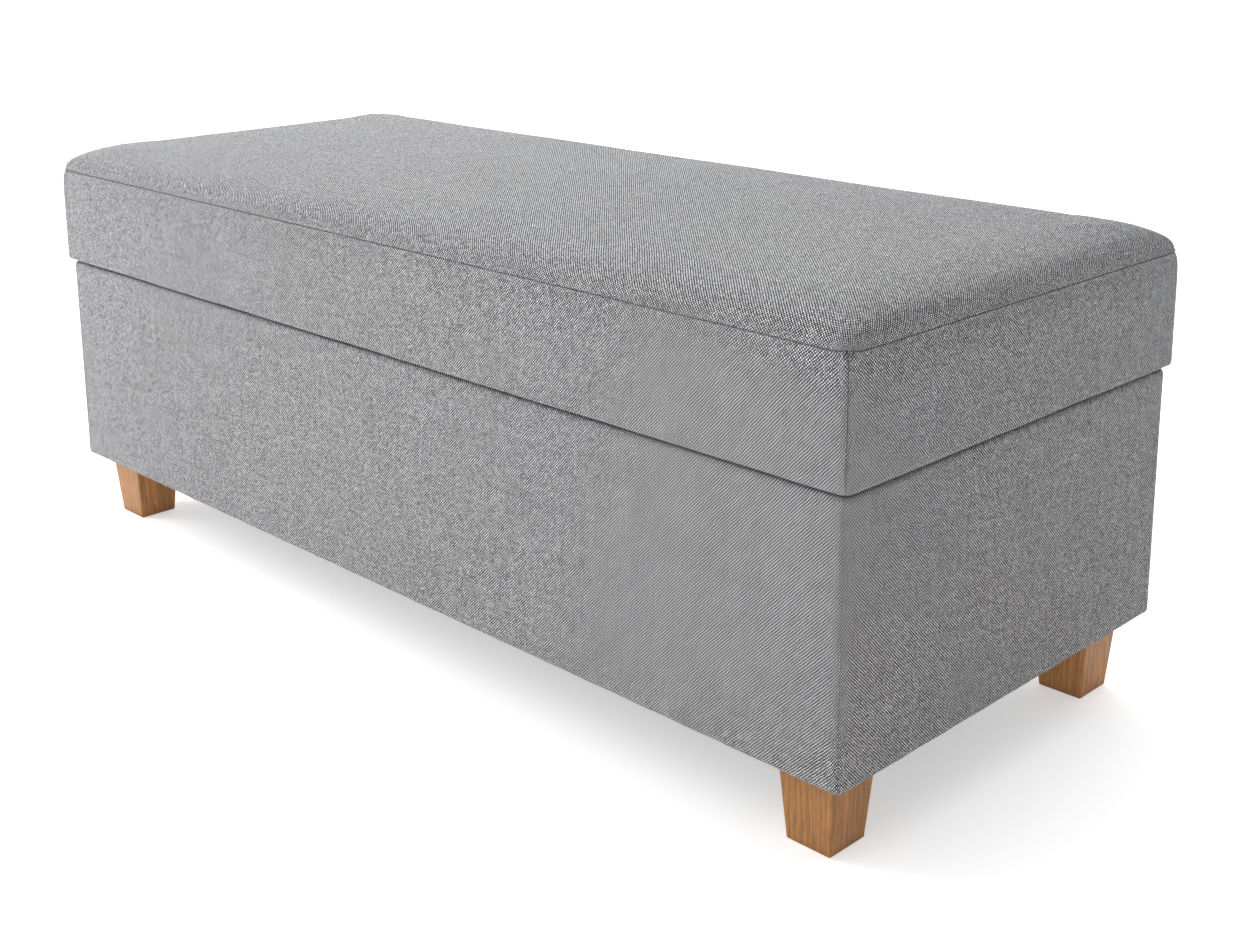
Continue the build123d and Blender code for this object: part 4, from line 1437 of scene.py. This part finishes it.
@dataclass
class Carcass:
    """The timber, boards and hardware that keep their own shapes and take their finishes."""

    effects: Effects

    def finishes(self) -> dict[str, bpy.types.Material]:
        """Returns each finish of the carcass by the maker's word for it."""
        effects = self.effects
        pine_early, pine_late = (0.66, 0.49, 0.28, 1.0), (0.47, 0.29, 0.13, 1.0)
        pine = {
            f"pine_{axis.value.lower()}": WoodFinish(
                f"Pine along {axis.value}", effects, pine_early, pine_late, axis,
                7 * MM, 1.0, 0.0, 0.62)
            for axis in Grain
        }
        made = dict(pine)
        made["oak"] = WoodFinish(
            "Oiled oak", effects, (0.52, 0.235, 0.068, 1.0), (0.27, 0.102, 0.026, 1.0),
            Grain.ALONG_Z, 5 * MM, 19.5 * MM, 0.16, 0.46, 9 * MM)
        made["board"] = BoardFinish("Chipboard", effects)
        made["zinc"] = MetalFinish("Zinc plate", effects, (0.62, 0.63, 0.64, 1.0), (0.50, 0.50, 0.49, 1.0))
        made["strut_paint"] = MetalFinish(
            "Black strut paint", effects, (0.012, 0.012, 0.013, 1.0), (0.022, 0.022, 0.023, 1.0),
            0.0, 0.3, 0.1, 9 * MM, 0.4)
        made["strut_rod"] = MetalFinish(
            "Polished rod", effects, (0.74, 0.75, 0.77, 1.0), (0.66, 0.67, 0.69, 1.0), 1.0, 0.12, 0.06)
        made["socket"] = MouldedFinish("Socket plastic", effects, (0.02, 0.02, 0.021, 1.0))
        made["rubber"] = MouldedFinish("Bumper rubber", effects, (0.045, 0.044, 0.043, 1.0), 0.68)
        return {name: finish.make() for name, finish in made.items()}

    def dress(self) -> None:
        """Gives every shown CAD node its finish."""
        legs = [f"leg_{end}_{hand}" for end in ("front", "back") for hand in ("left", "right")]
        hands = ("left", "right")
        wearers = {
            "oak": legs,
            "board": ["front_panel", "back_panel", "left_end_panel", "right_end_panel",
                      "floor_panel", "lid_deck_panel"],
            "pine_x": ["front_floor_rail", "back_floor_rail", "lid_front_rail", "lid_back_rail"],
            "pine_y": ["lid_left_rail", "lid_right_rail", "lid_cross_rails", "lid_strut_blocks"],
            "pine_z": ["corner_blocks"],
            "zinc": ["box_screws", "lid_frame_screws", "box_hardware_screws", "lid_hardware_screws",
                     "leg_hanger_bolts", "leg_tee_nuts", "hinge_pins", "dust_cover_staples",
                     "lid_lining_staples", "strut_box_brackets", "strut_lid_brackets"]
                    + [f"{hand}_hinge_{part}_leaf" for hand in hands for part in ("box", "lid")],
            "strut_paint": [f"{hand}_strut_cylinder" for hand in hands],
            "strut_rod": [f"{hand}_strut_rod" for hand in hands],
            "socket": [f"{hand}_strut_{part}_socket" for hand in hands for part in ("cylinder", "rod")],
            "rubber": ["rim_bumpers"],
        }
        finishes = self.finishes()
        for name, nodes in wearers.items():
            for node in nodes:
                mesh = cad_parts[node].data
                mesh.materials.clear()
                mesh.materials.append(finishes[name])
                log.info("%s: %s", node, finishes[name].name)


# ---------------------------------------------------------------- studio


@dataclass
class Studio:
    """Pale floor, soft light and the camera."""

    azimuth: float = 45.23
    elevation: float = 13.03
    roll: float = 0.36
    eye: tuple[float, float, float] = (1.328, -1.209, 0.774)
    lens: float = 49.62
    sensor: float = 36.0
    shift_y: float = -0.1528
    floor_half: float = 14.0
    floor_glow: float = 0.33
    floor_lift: float = 0.15
    glows: tuple = (((0.0, -1.0, 0.3), 0.90), ((-0.4, 0.6, 0.7), 2.0))

    def camera(self) -> None:
        """Sets the camera at a corner, looking slightly down."""
        turn, tilt = math.radians(self.azimuth), math.radians(self.elevation)
        forward = Vector((
            -math.sin(turn) * math.cos(tilt), math.cos(turn) * math.cos(tilt), -math.sin(tilt)))
        data = bpy.data.cameras.new("camera")
        data.lens, data.sensor_width = self.lens, self.sensor
        data.shift_y = self.shift_y
        data.clip_end = 100.0
        camera = bpy.data.objects.new("camera", data)
        camera.rotation_mode = "QUATERNION"
        upright = forward.to_track_quat("-Z", "Y")
        camera.rotation_quaternion = Matrix.Rotation(
            math.radians(self.roll), 3, forward).to_quaternion() @ upright
        camera.location = self.eye
        bpy.context.scene.collection.objects.link(camera)
        bpy.context.scene.camera = camera

    def floor(self) -> None:
        """Lays the plain white floor."""
        made, graph, shader = empty_material("Studio floor")
        place = graph.node("TexCoord").outputs["Object"]
        faint = graph.ranged(graph.noise(place, 1.2, 2.0), 0.3, 0.7, 0.925, 0.935)
        tint = graph.node("CombineColor", {0: faint, 1: faint, 2: faint}).outputs[0]
        graph.tree.links.new(tint, shader.inputs["Base Color"])
        shader.inputs["Roughness"].default_value = 0.9
        shader.inputs["Specular IOR Level"].default_value = 0.0
        seen = graph.node("LightPath").outputs["Is Camera Ray"]
        glow = graph.math("ADD", graph.math("MULTIPLY", seen, self.floor_lift), self.floor_glow)
        shader.inputs["Emission Color"].default_value = (1.0, 1.0, 1.0, 1.0)
        graph.tree.links.new(glow, shader.inputs["Emission Strength"])
        shape = bmesh.new()
        bmesh.ops.create_grid(shape, x_segments=4, y_segments=4, size=self.floor_half)
        mesh = bpy.data.meshes.new("studio_floor")
        shape.to_mesh(mesh)
        shape.free()
        mesh.materials.append(made)
        floor = bpy.data.objects.new("studio_floor", mesh)
        bpy.context.scene.collection.objects.link(floor)

    def sky(self) -> None:
        """Wraps the set in white light, stronger from the front and from the back above."""
        world = bpy.data.worlds.new("studio_sky")
        world.use_nodes = True
        bpy.context.scene.world = world
        tree = world.node_tree
        tree.nodes.clear()
        graph = Graph(tree)
        ray = graph.node("TexCoord").outputs["Generated"]
        glows = []
        for toward, power in self.glows:
            facing = graph.node(
                "VectorMath", {0: ray, 1: Vector(toward).normalized()}, operation="DOT_PRODUCT")
            lobe = graph.math("POWER", graph.math("MAXIMUM", facing.outputs["Value"], 0.0), 2.0)
            glows.append(graph.math("MULTIPLY", lobe, power))
        strength = graph.math("ADD", *glows)
        light = graph.node("Background", {"Color": (0.985, 0.99, 1.0, 1.0), "Strength": strength})
        seen = graph.node("Background", {"Color": (1.0, 1.0, 1.0, 1.0), "Strength": 1.0})
        camera_ray = graph.node("LightPath").outputs["Is Camera Ray"]
        both = graph.node("MixShader", {0: camera_ray, 1: light.outputs[0], 2: seen.outputs[0]})
        graph.node("OutputWorld", {"Surface": both.outputs[0]})

    def lamp(self, name: str, place: tuple[float, float, float], size: float, power: float) -> None:
        """Adds one broad soft light that faces the bench."""
        data = bpy.data.lights.new(name, "AREA")
        data.shape, data.size, data.energy = "DISK", size, power
        lamp = bpy.data.objects.new(name, data)
        lamp.location = place
        lamp.rotation_mode = "QUATERNION"
        lamp.rotation_quaternion = (Vector((0, 0, 0.3)) - Vector(place)).to_track_quat("-Z", "Y")
        bpy.context.scene.collection.objects.link(lamp)

    def build(self) -> None:
        """Sets the whole studio."""
        self.camera()
        self.floor()
        self.sky()
        self.lamp("key_left", (-2.0, -1.3, 1.5), 1.4, 35.0)
        self.lamp("key_front", (-1.0, -2.4, 1.8), 1.6, 6.0)
        self.lamp("rim_back", (-1.6, 0.9, 2.0), 1.6, 27.0)
        bpy.context.scene.view_settings.view_transform = "Standard"


def main() -> None:
    """Builds the studio and the bench, piece by piece."""
    logging.basicConfig(level=logging.INFO, format="%(relativeCreated)6d ms  %(message)s")
    Studio().build()
    effects = Effects()
    weave = ClothFinish("Grey flecked weave", effects).make()
    thread = MouldedFinish("Seam thread", effects, (0.16, 0.16, 0.165, 1.0), 0.8).make()
    pad = SeatPad(effects)
    swell = pad.build()
    SeatCovers(effects, pad, weave, thread).build(swell)
    BoxCovers(effects, weave, thread).build()
    Linings(effects).build()
    Carcass(effects).dress()


if __name__ == "__main__":
    main()
